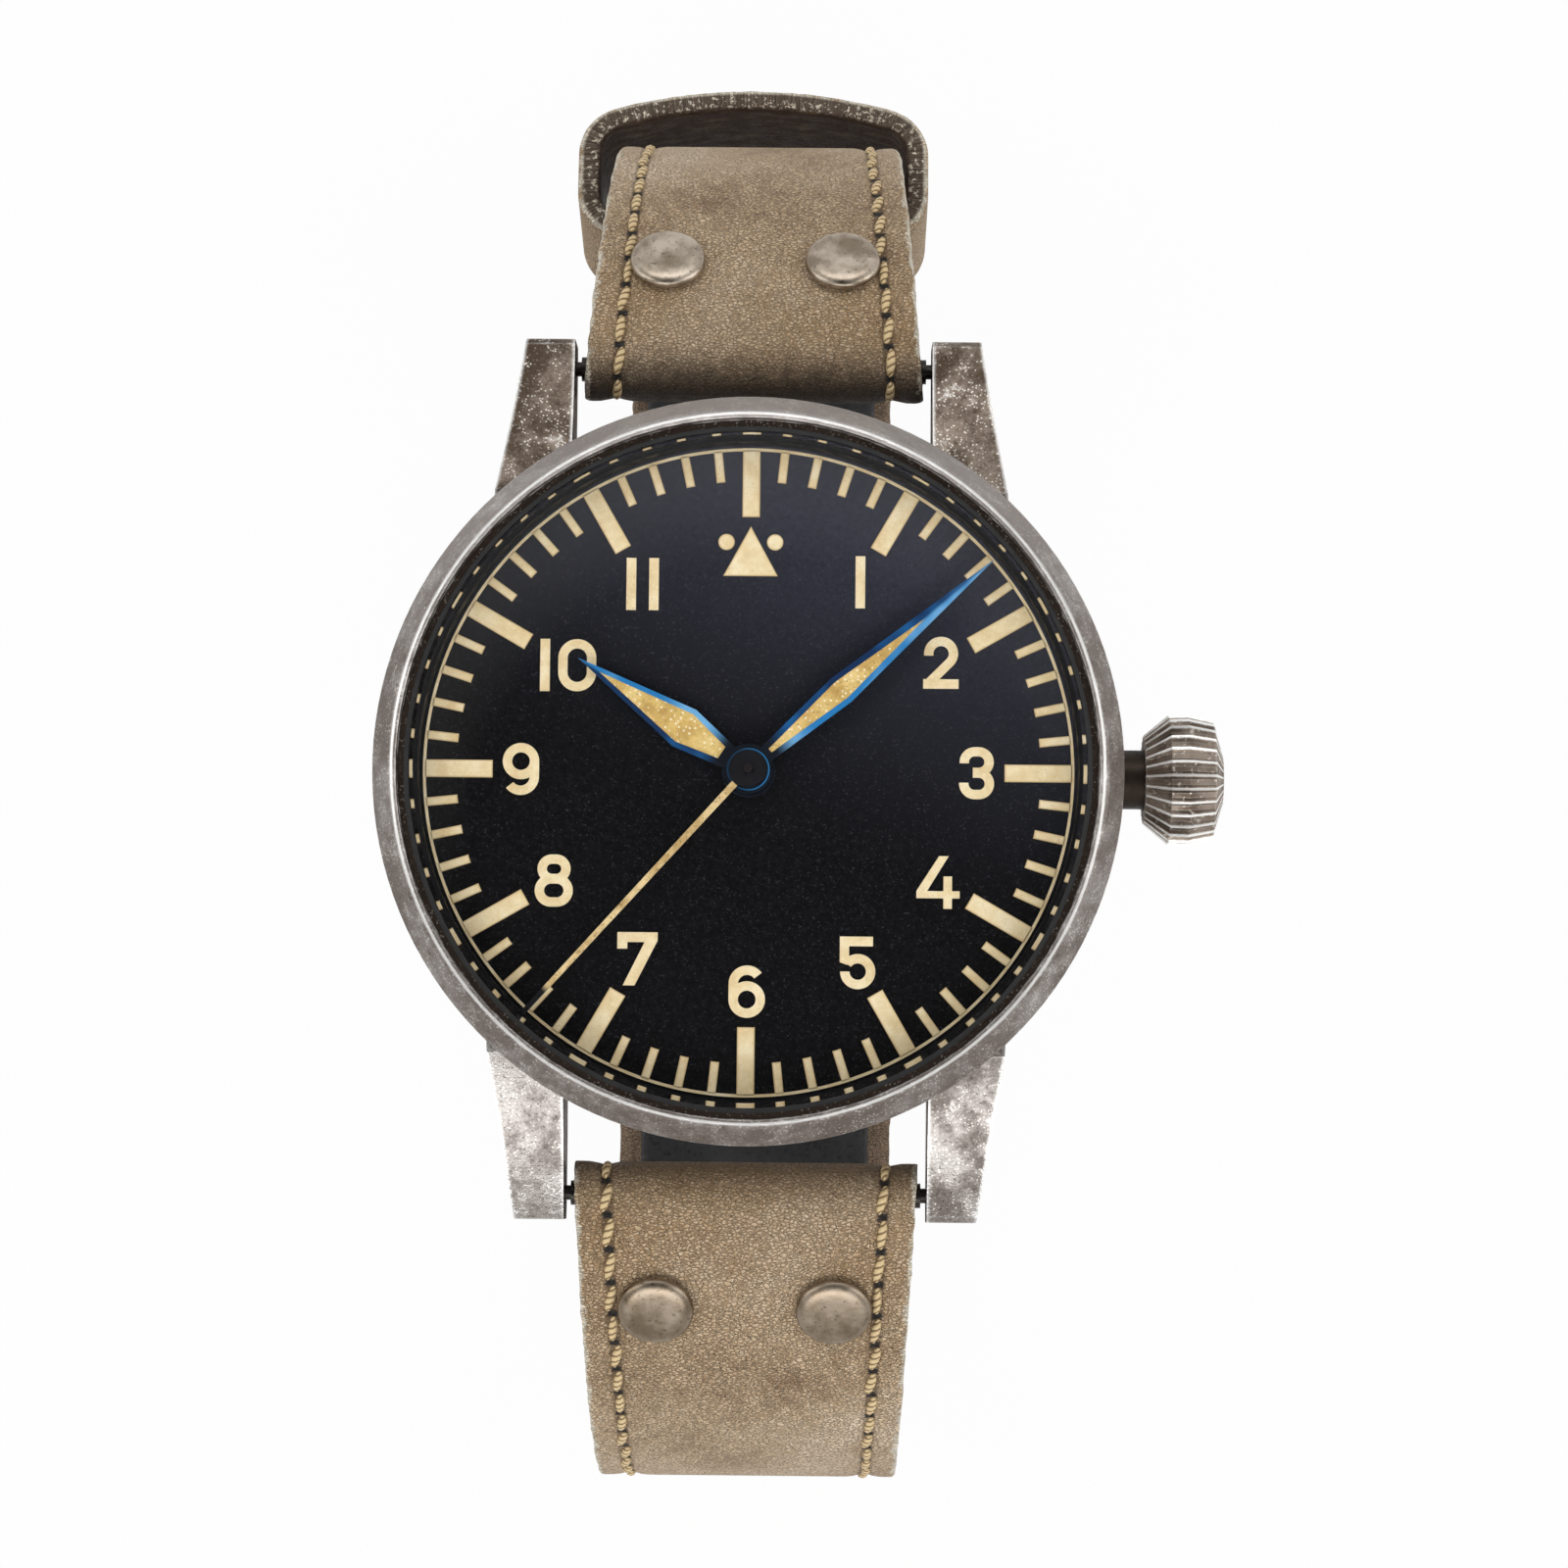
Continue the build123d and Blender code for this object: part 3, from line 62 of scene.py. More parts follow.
mm = 0.001
print("the packed watch is loaded")


# Camera: it looks down on the dial from a little on the 6 o'clock side

camera = {
    "distance": 266.0,
    "pinHeight": 9.8,
    "towardsSix": 4.7,
    "towardsThree": 0.35,
    "roll": 0.55,
    "focalPixels": 4537.0,
    "photoPixels": 1600.0,
    "pinPixel": (763.5, 784.8),
    "sensor": 36.0,
}


def placeCamera():
    setup = camera
    data = bpy.data.cameras.new("photoCamera")
    eye = bpy.data.objects.new("photoCamera", data)
    bpy.context.scene.collection.objects.link(eye)
    data.sensor_width = setup["sensor"]
    data.lens = setup["focalPixels"] / setup["photoPixels"] * setup["sensor"]
    data.clip_start = 0.01
    data.clip_end = 5.0
    turn = Matrix.Rotation(math.radians(setup["towardsThree"]), 4, "Y")
    turn @= Matrix.Rotation(math.radians(setup["towardsSix"]), 4, "X")
    turn @= Matrix.Rotation(math.radians(setup["roll"]), 4, "Z")
    # the pin isn't in the middle of the picture, so the line through it leaves the lens at a small angle
    middle = setup["photoPixels"] / 2
    aside = (setup["pinPixel"][0] - middle) / setup["focalPixels"]
    above = (middle - setup["pinPixel"][1]) / setup["focalPixels"]
    ray = turn.to_3x3() @ Vector((aside, above, -1))
    pin = Vector((0, 0, setup["pinHeight"] * mm))
    eye.matrix_world = Matrix.Translation(pin - ray * setup["distance"] * mm) @ turn
    bpy.context.scene.camera = eye


placeCamera()
print("the camera is placed")


# Shader maths: a signal is a socket that takes part in Python sums

class Signal:
    def __init__(self, finish, socket):
        self.finish = finish
        self.socket = socket

    def sum(self, operation, first, second):
        return self.finish.maths(operation, first, second)

    def __add__(self, other):
        return self.sum("ADD", self, other)

    def __sub__(self, other):
        return self.sum("SUBTRACT", self, other)

    def __rsub__(self, other):
        return self.sum("SUBTRACT", other, self)

    def __mul__(self, other):
        return self.sum("MULTIPLY", self, other)

    def __truediv__(self, other):
        return self.sum("DIVIDE", self, other)

    __radd__ = __add__
    __rmul__ = __mul__


class Finish:
    # one material, built up node by node round a Principled shader
    def __init__(self, name, roughness=0.5, metallic=0.0, colour=(0.5, 0.5, 0.5)):
        self.material = bpy.data.materials.new(name)
        self.material.use_nodes = True
        self.tree = self.material.node_tree
        self.shader = self.tree.nodes["Principled BSDF"]
        self.set("Roughness", roughness)
        self.set("Metallic", metallic)
        self.set("Base Color", (*colour, 1))

    def node(self, kind, settings=None, inputs=None, output=0):
        made = self.tree.nodes.new("ShaderNode" + kind)
        for name, value in (settings or {}).items():
            if name == "stops":
                self.fillRamp(made.color_ramp, value)
            else:
                setattr(made, name, value)
        for name, value in (inputs or {}).items():
            self.connect(made.inputs[name], value)
        return Signal(self, made.outputs[output])

    def fillRamp(self, ramp, stops):
        while len(ramp.elements) < len(stops):
            ramp.elements.new(1.0)
        for element, (place, colour) in zip(ramp.elements, stops):
            element.position = place
            element.color = (*colour, 1)

    def connect(self, socket, value):
        if isinstance(value, Signal):
            self.tree.links.new(value.socket, socket)
        else:
            socket.default_value = value

    def set(self, name, value):
        self.connect(self.shader.inputs[name], value)

    def place(self):
        return self.node("TexCoord", output="Object")

    def flat(self):
        return self.node("TexCoord", output="UV")

    def grain(self, scale, detail=4.0, roughness=0.55, where=None, stretch=None, output="Fac"):
        where = where or self.place()
        if stretch:
            where = self.node("Mapping", None, {"Vector": where, "Scale": stretch}, "Vector")
        return self.node("TexNoise", None, {"Vector": where, "Scale": scale, "Detail": detail,
                                            "Roughness": roughness}, output)

    def cells(self, scale, where=None, feature="F1"):
        where = where or self.place()
        return self.node("TexVoronoi", {"feature": feature}, {"Vector": where, "Scale": scale}, "Distance")

    def between(self, value, low, high, least=0.0, most=1.0):
        return self.node("MapRange", {"interpolation_type": "SMOOTHSTEP"},
                         {"Value": value, "From Min": low, "From Max": high, "To Min": least, "To Max": most})

    def mix(self, share, first, second):
        first = first if isinstance(first, Signal) else (*first, 1)
        second = second if isinstance(second, Signal) else (*second, 1)
        return self.node("Mix", {"data_type": "RGBA"}, {"Factor": share, 6: first, 7: second}, 2)

    def ramp(self, value, *stops):
        return self.node("ValToRGB", {"stops": stops}, {"Fac": value}, "Color")

    def axis(self, where, letter):
        return self.node("SeparateXYZ", None, {0: where}, letter)

    def attribute(self, name):
        return self.node("Attribute", {"attribute_name": name}, None, "Fac")

    def maths(self, operation, first, second=0.0):
        return self.node("Math", {"operation": operation}, {0: first, 1: second})

    def reach(self, first, second):
        # distance from an axis, from two coordinates of it
        return self.maths("SQRT", first * first + second * second)

    def edges(self, radius):
        # 1 on sharp outer and inner corners, 0 on flat ground
        soft = self.node("Bevel", {"samples": 6}, {"Radius": radius * mm})
        hard = self.node("NewGeometry", output="Normal")
        same = self.node("VectorMath", {"operation": "DOT_PRODUCT"}, {0: soft, 1: hard}, "Value")
        return 1 - same

    def bump(self, height, depth):
        return self.node("Bump", None, {"Height": height, "Distance": depth * mm, "Strength": 1.0})


bezelRings = {
    "groove": 20.97,
    "ridge": 21.19,
    "ridgeHalf": 0.10,
}


def wornMetal(name, dark, light, wear=0.5, rub=(0.82, 0.81, 0.79), sheenTowardsSix=0.0, ringed=False):
    # old steel: brown patina in patches, bright rubbed edges, fine pits and pale specks
    # towards 6 o'clock the steel is painted paler, a painted highlight for the light from that side
    finish = Finish(name, 0.42, 1.0)
    cloud = finish.grain(170, 5, 0.6)
    blotch = finish.grain(700, 9, 0.72)
    fine = finish.grain(5200, 3, 0.7)
    where = finish.place()
    # painted highlight: the steel is painted paler towards 6 o'clock, where the light falls on it
    low = finish.between(finish.axis(where, "Y"), 0.008, -0.018, 0.0, sheenTowardsSix)
    dots = finish.between(finish.cells(4700), 0.34, 0.18) * finish.between(blotch, 0.44, 0.56, 0.12, wear)
    edge = finish.between(finish.edges(0.45) + (blotch - 0.5) * 0.35, 0.03, 0.16)
    patch = finish.between(cloud * 0.55 + blotch * 0.45 + low * 0.03, 0.42, 0.60)
    ground = finish.mix(patch, dark, light)
    # painted highlight towards 6 o'clock: pale steel mixed into the ground
    ground = finish.mix(low * (0.3 + patch * 0.7), ground, (0.46, 0.435, 0.42))
    scuffed = finish.mix(finish.between(blotch, 0.60, 0.68, 0.0, wear * 0.45), ground, rub)
    pitted = finish.mix(finish.between(fine, 0.42, 0.33, 0.0, 0.7), scuffed, (0.045, 0.034, 0.026))
    spotted = finish.mix(dots, pitted, (0.86, 0.82, 0.75))
    worn = finish.mix(edge, spotted, rub)
    if ringed:
        # the groove round the crystal stays dark; the ridge outside it is rubbed bright and carries a painted
        # highlight
        reach = finish.reach(finish.axis(where, "X"), finish.axis(where, "Y"))
        # painted highlight: the bezel is painted paler towards 12 o'clock, where the light falls on it
        high = finish.between(finish.axis(where, "Y"), 0.004, 0.020, 0.0, 0.45)
        worn = finish.mix(high, worn, (0.56, 0.52, 0.50))
        groove = bezelRings["groove"] * mm
        soiled = finish.mix(dots * 0.8, (0.060, 0.045, 0.036), (0.55, 0.50, 0.45))
        inside = finish.between(reach + (blotch - 0.5) * 0.0003, groove, groove - 0.00008)
        worn = finish.mix(inside, worn, soiled)
        # painted highlight: a thin near-white line along the rubbed ridge
        aside = finish.maths("ABSOLUTE", reach - bezelRings["ridge"] * mm)
        half = bezelRings["ridgeHalf"] * mm
        worn = finish.mix(finish.between(aside, half, half * 0.4) * 0.85, worn, (0.95, 0.94, 0.92))
    finish.set("Base Color", worn)
    finish.set("Roughness", finish.between(patch + edge - dots * 0.5, 0.0, 1.0, 0.50, 0.30))
    finish.set("Normal", finish.bump(fine * 0.5 + blotch, 0.07))
    return finish.material


def crownMetal():
    # dark speckled flutes between thin rubbed ridges, worked out from the angle about the crown's axis
    finish = Finish("crownMetal", 0.4, 1.0)
    where = finish.place()
    y = finish.axis(where, "Y")
    z = finish.axis(where, "Z") - crown["height"] * mm
    turn = finish.maths("ARCTAN2", z, y) * (crown["flutes"] / (2 * math.pi))
    phase = finish.maths("PINGPONG", turn + crown["flutes"], 0.5)
    speck = finish.grain(2600, 3, 0.7)
    blotch = finish.grain(500, 5)
    ridge = finish.between(phase + (speck - 0.5) * 0.12, crown["ridge"], crown["ridge"] * 0.4)
    rim = finish.between(finish.edges(0.25), 0.04, 0.2)
    ridge = ridge * finish.between(finish.reach(y, z), crown["face"] * mm, crown["face"] * 1.25 * mm)
    ground = finish.mix(finish.between(blotch, 0.35, 0.65), (0.125, 0.092, 0.070), (0.34, 0.28, 0.23))
    spotted = finish.mix(finish.between(speck, 0.57, 0.66, 0.0, 0.85), ground, (0.72, 0.66, 0.58))
    finish.set("Base Color", finish.mix(ridge, finish.mix(rim * 0.6, spotted, (0.7, 0.68, 0.64)),
                                        (0.96, 0.95, 0.93)))
    finish.set("Roughness", finish.between(blotch, 0.3, 0.7, 0.42, 0.6))
    finish.set("Normal", finish.bump(speck, 0.03))
    return finish.material


crown = {
    "height": 4.6,
    "flutes": 28,
    "ridge": 0.15,
    "face": 1.5,
}


def plainMetal(name, colour, roughness):
    finish = Finish(name, roughness, 1.0, colour)
    fine = finish.grain(900, 3)
    dark = tuple(0.8 * c for c in colour)
    finish.set("Base Color", finish.mix(finish.between(fine, 0.35, 0.65), dark, colour))
    finish.set("Roughness", finish.between(fine, 0.3, 0.7, roughness * 0.8, min(1.0, roughness * 1.3)))
    finish.set("Normal", finish.bump(fine, 0.004))
    return finish.material


def dialBlack():
    finish = Finish("dialBlack", 0.6)
    where = finish.place()
    # painted reflection: the black ground is painted lighter and bluer towards 12 o'clock and 3 o'clock
    up = finish.between(finish.axis(where, "Y") * 0.9 + finish.axis(where, "X") * 0.35, -0.004, 0.022)
    fine = finish.grain(3500, 2)
    ground = finish.mix(up, (0.0016, 0.0016, 0.0020), (0.042, 0.044, 0.062))
    dusted = finish.mix(finish.between(fine, 0.3, 0.75, 0.0, 0.3), ground, (0.012, 0.012, 0.015))
    dust = finish.grain(8000, 2)
    settled = finish.between(dust, 0.60, 0.72, 0.0, 0.22)
    finish.set("Base Color", finish.mix(settled, dusted, (0.12, 0.12, 0.14)))
    finish.set("Specular IOR Level", 0.05)
    finish.set("Normal", finish.bump(fine, 0.004))
    return finish.material


def agedLume(name, shades, poreShare=0.8, rimShade=None):
    # old luminous paint: cream to tan clouds with brown pores; print has a darker golden outline
    finish = Finish(name, 0.75)
    cloud = finish.grain(750, 5, 0.65)
    pores = finish.grain(6500, 3, 0.7)
    grit = finish.cells(3300)
    dark, middle, pale = shades
    ground = finish.ramp(cloud, (0.34, dark), (0.5, middle), (0.66, pale))
    gritty = finish.mix(finish.between(grit, 0.32, 0.16, 0.0, 0.9 * poreShare), ground, (0.97, 0.90, 0.66))
    speckled = finish.mix(finish.between(pores, 0.59, 0.68, 0.0, poreShare), gritty, (0.20, 0.115, 0.04))
    if rimShade:
        speckled = finish.mix(finish.attribute("rim") * 0.85, speckled, rimShade)
    finish.set("Base Color", speckled)
    finish.set("Normal", finish.bump(pores, 0.02))
    return finish.material


def secondsPaint():
    # cream paint between the black boss and the bare dark tip
    finish = Finish("secondsPaint", 0.4)
    where = finish.place()
    reach = finish.reach(finish.axis(where, "X"), finish.axis(where, "Y"))
    cloud = finish.grain(900, 4)
    speck = finish.grain(5200, 3, 0.7)
    paint = finish.mix(finish.between(cloud, 0.35, 0.65), (0.50, 0.34, 0.14), (0.80, 0.62, 0.33))
    paint = finish.mix(finish.between(speck, 0.56, 0.66, 0.0, 0.7), paint, (0.16, 0.09, 0.03))
    dark = (0.006, 0.006, 0.008)
    finish.set("Specular IOR Level", 0.2)
    painted = finish.mix(finish.between(reach, 0.00117, 0.00121), dark, paint)
    finish.set("Base Color", finish.mix(finish.between(reach, 0.0174, 0.0180), painted, dark))
    return finish.material


def blueSteel(name, angle):
    # painted light: one half of the hand's frame is painted as the lit slope in pale blue, the other as the
    # shaded slope in deep blue
    finish = Finish(name, 0.38, 0.4)
    where = finish.place()
    side = finish.node("Mapping", None, {"Vector": where, "Rotation": (0, 0, math.radians(angle))}, 0)
    across = finish.axis(side, "X")
    tint = finish.grain(260, 2)
    # painted highlight: the lit half's pale blue
    pale = finish.mix(finish.between(tint, 0.38, 0.60), (0.02, 0.24, 0.60), (0.20, 0.52, 0.88))
    # painted shade: the shaded half's deep blue
    deep = finish.mix(finish.between(tint, 0.38, 0.60), (0.002, 0.030, 0.11), (0.008, 0.13, 0.38))
    blade = finish.mix(finish.between(across, -0.00012, 0.00012), deep, pale)
    reach = finish.reach(finish.axis(where, "X"), finish.axis(where, "Y"))
    # painted reflection: a thin bright blue ring round the boss, painted brighter on the 3 o'clock side
    bossGlint = finish.between(finish.maths("ABSOLUTE", reach - 0.00123), 0.00006, 0.00002)
    lit = finish.between(finish.axis(where, "X"), -0.0009, 0.0009, 0.2, 1.0)
    boss = finish.mix(bossGlint * lit, (0.002, 0.006, 0.014), (0.03, 0.27, 0.62))
    finish.set("Base Color", finish.mix(finish.between(reach, 0.0019, 0.0036), boss, blade))
    return finish.material


def clearCrystal():
    finish = Finish("clearCrystal", 0.0, 0.0, (1, 1, 1))
    finish.set("Transmission Weight", 1.0)
    finish.set("IOR", 1.5)
    # light passes straight through to the dial, as it does through thin real glass
    through = finish.node("BsdfTransparent")
    path = finish.node("LightPath", output="Is Shadow Ray")
    both = finish.node("MixShader", None, {0: path, 1: Signal(finish, finish.shader.outputs[0]), 2: through})
    finish.connect(finish.tree.nodes["Material Output"].inputs["Surface"], both)
    return finish.material


def ruby():
    finish = Finish("ruby", 0.08, 0.0, (0.45, 0.01, 0.05))
    cloud = finish.grain(900, 2)
    finish.set("Base Color", finish.mix(cloud, (0.36, 0.01, 0.05), (0.55, 0.03, 0.10)))
    finish.set("Coat Weight", 1.0)
    return finish.material


def oldRubber():
    finish = Finish("oldRubber", 0.75)
    fine = finish.grain(1200, 3)
    finish.set("Base Color", finish.mix(fine, (0.010, 0.010, 0.010), (0.03, 0.03, 0.03)))
    finish.set("Normal", finish.bump(fine, 0.01))
    return finish.material


def liningLeather():
    finish = Finish("liningLeather", 0.5)
    flat = finish.flat()
    pores = finish.cells(210, flat)
    fold = finish.grain(14, 4, 0.5, flat)
    folded = finish.between(fold, 0.4, 0.7)
    finish.set("Base Color", finish.mix(folded, (0.006, 0.006, 0.007), (0.020, 0.020, 0.023)))
    finish.set("Roughness", finish.between(pores, 0.1, 0.6, 0.38, 0.6))
    finish.set("Normal", finish.bump(pores, 0.05))
    return finish.material


leather = {
    "dark": (0.265, 0.155, 0.070),
    "middle": (0.550, 0.390, 0.230),
    "pale": (0.770, 0.610, 0.440),
    "oiled": (0.320, 0.190, 0.078),
    "crease": (0.115, 0.060, 0.022),
    "pore": (0.060, 0.030, 0.012),
    # painted shade where the strap rolls under the lugs
    "root": (0.045, 0.028, 0.016),
    "edge": (0.74, 0.67, 0.54),
    "side": (0.17, 0.11, 0.065),
    "flesh": (0.27, 0.185, 0.12),
    "keeperSide": (0.105, 0.068, 0.042),
    "keeperFlesh": (0.052, 0.025, 0.013),
    "fibre": (0.74, 0.66, 0.52),
}


def strapLeather(name, kind):
    # olive tan leather: fine creased grain with painted highlights as pale flecks on its pebbles, painted
    # shade where the strap rolls under the lugs, ragged pale edges, raw flesh side
    finish = Finish(name, 0.5)
    flat = finish.flat()
    fromEdge = finish.attribute("fromEdge")
    inward = finish.attribute("inward")
    along = finish.axis(flat, "X") * 100.0
    cloud = finish.grain(8, 4, 0.55, flat)
    drawn = finish.grain(70, 6, 0.62, flat, (1.0, 1.6, 1.0))
    fleck = finish.grain(3000, 3, 0.7)
    warp = finish.grain(260, 3, 0.6, flat, None, "Color")
    bent = finish.node("VectorMath", {"operation": "MULTIPLY_ADD"},
                       {0: warp, 1: (0.0032, 0.0032, 0.0), 2: flat}, 0)
    bent = finish.node("Mapping", None, {"Vector": bent, "Scale": (1.35, 0.85, 1.0)}, 0)
    crease = finish.between(finish.cells(390, bent, "DISTANCE_TO_EDGE"), 0.01, 0.15)
    pebble = finish.grain(520, 4, 0.65, flat, (1.3, 0.7, 1.0))
    ground = finish.ramp(cloud * 0.6 + drawn * 0.4, (0.36, leather["dark"]), (0.5, leather["middle"]),
                         (0.66, leather["pale"]))
    pored = finish.mix((1 - crease) * finish.between(drawn, 0.30, 0.62, 0.1, 0.5), ground, leather["crease"])
    slant = finish.node("Mapping", None,
                        {"Vector": bent, "Rotation": (0, 0, 0.5), "Scale": (1.0, 1.9, 1.0)}, 0)
    pricks = finish.between(finish.cells(330, slant), 0.30, 0.12)
    pored = finish.mix(pricks * 0.65, pored, leather["pore"])
    oiled = finish.between(along + (drawn - 0.5) * 3.0, 17.0, 27.0, 0.5, 0.0)
    pored = finish.mix(oiled, pored, leather["oiled"])
    # painted highlights: pale flecks on the pebbles stand in for glints of light
    grainAndPaintedLight = finish.mix(crease * finish.between(pebble, 0.52, 0.66, 0.0, 0.6), pored, (0.82, 0.71, 0.55))
    if kind == "strap":
        # painted shade: the strap is painted near black where it rolls under the lugs, weaker on the lower
        # strap
        deep = finish.between(finish.axis(finish.place(), "Y"), -0.005, 0.005, 0.45, 0.96)
        root = finish.between(along + (drawn - 0.5) * 2.4, 13.6, 17.8, 1.0, 0.0)
        grainAndPaintedLight = finish.mix(root * deep, grainAndPaintedLight, leather["root"])
        aside = finish.maths("ABSOLUTE", fromEdge - stitching["inset"])
        grainAndPaintedLight = finish.mix(finish.between(aside, 0.50, 0.22) * 0.6, grainAndPaintedLight, leather["crease"])
        step = finish.maths("PINGPONG", (along - stitching["first"]) / stitching["pitch"] + 20.0, 0.5)
        pricked = finish.between(step, 0.16, 0.06) * finish.between(aside, 0.42, 0.2)
        grainAndPaintedLight = finish.mix(pricked, grainAndPaintedLight, (0.010, 0.007, 0.004))
    rag = finish.between(fromEdge + (drawn - 0.5) * 1.6 + (pebble - 0.5) * 0.8, 0.30, 0.02)
    worn = finish.mix(rag, grainAndPaintedLight, leather["edge"])
    raw = leather["side"] if kind == "strap" else leather["keeperSide"]
    shred = finish.between(fleck + inward * 0.10, 0.60, 0.68)
    sided = finish.mix(finish.between(inward, 0.12, 0.3), worn, finish.mix(shred, raw, leather["fibre"]))
    wrinkle = finish.grain(60, 6, 0.65, flat, (0.7, 3.4, 1.0))
    flesh = leather["flesh"] if kind == "strap" else leather["keeperFlesh"]
    inner = finish.mix(finish.between(wrinkle, 0.46, 0.66, 0.0, 0.7), flesh, leather["side"])
    finish.set("Base Color", finish.mix(finish.between(inward, 0.8, 0.95), sided, inner))
    finish.set("Roughness", finish.between(drawn + (1 - crease) * 0.3, 0.3, 0.8, 0.40, 0.66))
    finish.set("Normal", finish.bump(crease * 0.8 + drawn * 0.8 + pebble * 0.4 + wrinkle * 0.3 - pricks * 0.6,
                                     0.16))
    return finish.material


def threadFinish():
    # cream thread; its twist runs slantwise round each stitch
    finish = Finish("thread", 0.6)
    flat = finish.flat()
    turns = finish.axis(flat, "X") * 4.0 + finish.axis(flat, "Y") * 2.0
    ply = finish.maths("PINGPONG", turns, 0.5)
    lit = finish.between(ply, 0.02, 0.28)
    finish.set("Base Color", finish.mix(lit, (0.16, 0.095, 0.035), (0.70, 0.53, 0.29)))
    finish.set("Normal", finish.bump(ply, 0.10))
    return finish.material


def agedBronze():
    # smooth brown bronze: cloudy on top, a painted highlight round the rim, a few dark marks
    finish = Finish("agedBronze", 0.3, 1.0)
    cloud = finish.grain(520, 5, 0.6)
    fine = finish.grain(4200, 3)
    # painted highlight: the rim is painted pale where it would catch the light
    edge = finish.between(finish.edges(0.35) + (cloud - 0.5) * 0.08, 0.03, 0.16)
    ground = finish.mix(finish.between(cloud, 0.34, 0.68), (0.29, 0.235, 0.175), (0.60, 0.52, 0.43))
    low = finish.between(finish.axis(finish.place(), "Y"), 0.005, -0.005, 0.0, 0.6)
    ground = finish.mix(low, ground, (0.15, 0.105, 0.062))
    marked = finish.mix(finish.between(fine, 0.60, 0.70, 0.0, 0.6), ground, (0.06, 0.042, 0.03))
    finish.set("Base Color", finish.mix(edge * 0.8, marked, (0.72, 0.65, 0.57)))
    finish.set("Roughness", finish.between(cloud, 0.3, 0.7, 0.24, 0.40))
    finish.set("Normal", finish.bump(fine, 0.006))
    return finish.material


def trainBrass():
    # gilt wheel on a dark steel arbor, whose end shows as the pin in the middle of the hands
    finish = Finish("trainBrass", 0.35, 1.0)
    where = finish.place()
    reach = finish.reach(finish.axis(where, "X"), finish.axis(where, "Y"))
    finish.set("Base Color", finish.mix(finish.between(reach, 0.0004, 0.0006), (0.05, 0.045, 0.045),
                                        (0.72, 0.55, 0.28)))
    return finish.material


stitching = {
    "inset": 1.9,
    "first": 12.4,
    "pitch": 2.3,
    "length": 2.05,
    "radius": 0.31,
    "rise": 0.04,
    "slant": 10.0,
    "stray": 0.09,
    "stop": 3.5,
    "tailGap": 0.5,
}
handAngle = {
    "hour": 303.0,
    "minute": 48.9,
}
slotFinish = {
    "case_metal": wornMetal("caseMetal", (0.090, 0.064, 0.046), (0.26, 0.21, 0.17), 0.9, sheenTowardsSix=0.85),
    "crystal": clearCrystal(),
    "seal": oldRubber(),
    "inner_ring": plainMetal("innerRing", (0.02, 0.02, 0.022), 0.6),
    "dial_black": dialBlack(),
    "blued_steel": blueSteel("hourBlue", handAngle["hour"]),
    "lume": agedLume("handLume", ((0.50, 0.31, 0.08), (0.68, 0.46, 0.14), (0.80, 0.60, 0.24))),
    "seconds_paint": secondsPaint(),
    "steel": plainMetal("steel", (0.55, 0.55, 0.55), 0.3),
    "gilt_brass": plainMetal("giltBrass", (0.72, 0.55, 0.28), 0.38),
    "jewel": ruby(),
    "strap_leather": strapLeather("strapLeather", "strap"),
    "strap_lining": liningLeather(),
    "rivet_bronze": agedBronze(),
    "buckle_metal": wornMetal("buckleMetal", (0.18, 0.15, 0.125), (0.42, 0.38, 0.34)),
}
ownFinish = {
    "bezel": wornMetal("bezelMetal", (0.19, 0.158, 0.14), (0.32, 0.288, 0.27), 0.6, (0.84, 0.82, 0.80),
                       ringed=True),
    "crown": crownMetal(),
    "crown_tube": plainMetal("tubeDark", (0.045, 0.035, 0.028), 0.5),
    "minute_hand": blueSteel("minuteBlue", handAngle["minute"]),
    "fourth_wheel": trainBrass(),
    "spring_bars": plainMetal("barDark", (0.06, 0.055, 0.05), 0.4),
}
for part in frame["record"]["subparts"]:
    mesh = nodes[part["node"]].data
    mesh.materials.clear()
    mesh.materials.append(ownFinish.get(part["node"], slotFinish[part["material_slot"]]))
print("every node has its finish")


# Building tools

def deselectAll():
    if bpy.context.object and bpy.context.object.mode != "OBJECT":
        bpy.ops.object.mode_set(mode="OBJECT")
    bpy.ops.object.select_all(action="DESELECT")


def finishPiece(piece, material, body):
    piece.data.materials.clear()
    piece.data.materials.append(material)
    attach(piece, body)


def applyAll(piece):
    bpy.context.view_layer.objects.active = piece
    for modifier in list(piece.modifiers):
        bpy.ops.object.modifier_apply(modifier=modifier.name)


def joined(name, pieces):
    deselectAll()
    for piece in pieces:
        piece.select_set(True)
    bpy.context.view_layer.objects.active = pieces[0]
    bpy.ops.object.join()
    whole = bpy.context.object
    whole.name = name
    whole.data.name = name
    bpy.ops.object.transform_apply(location=True, rotation=True, scale=True)
    return whole


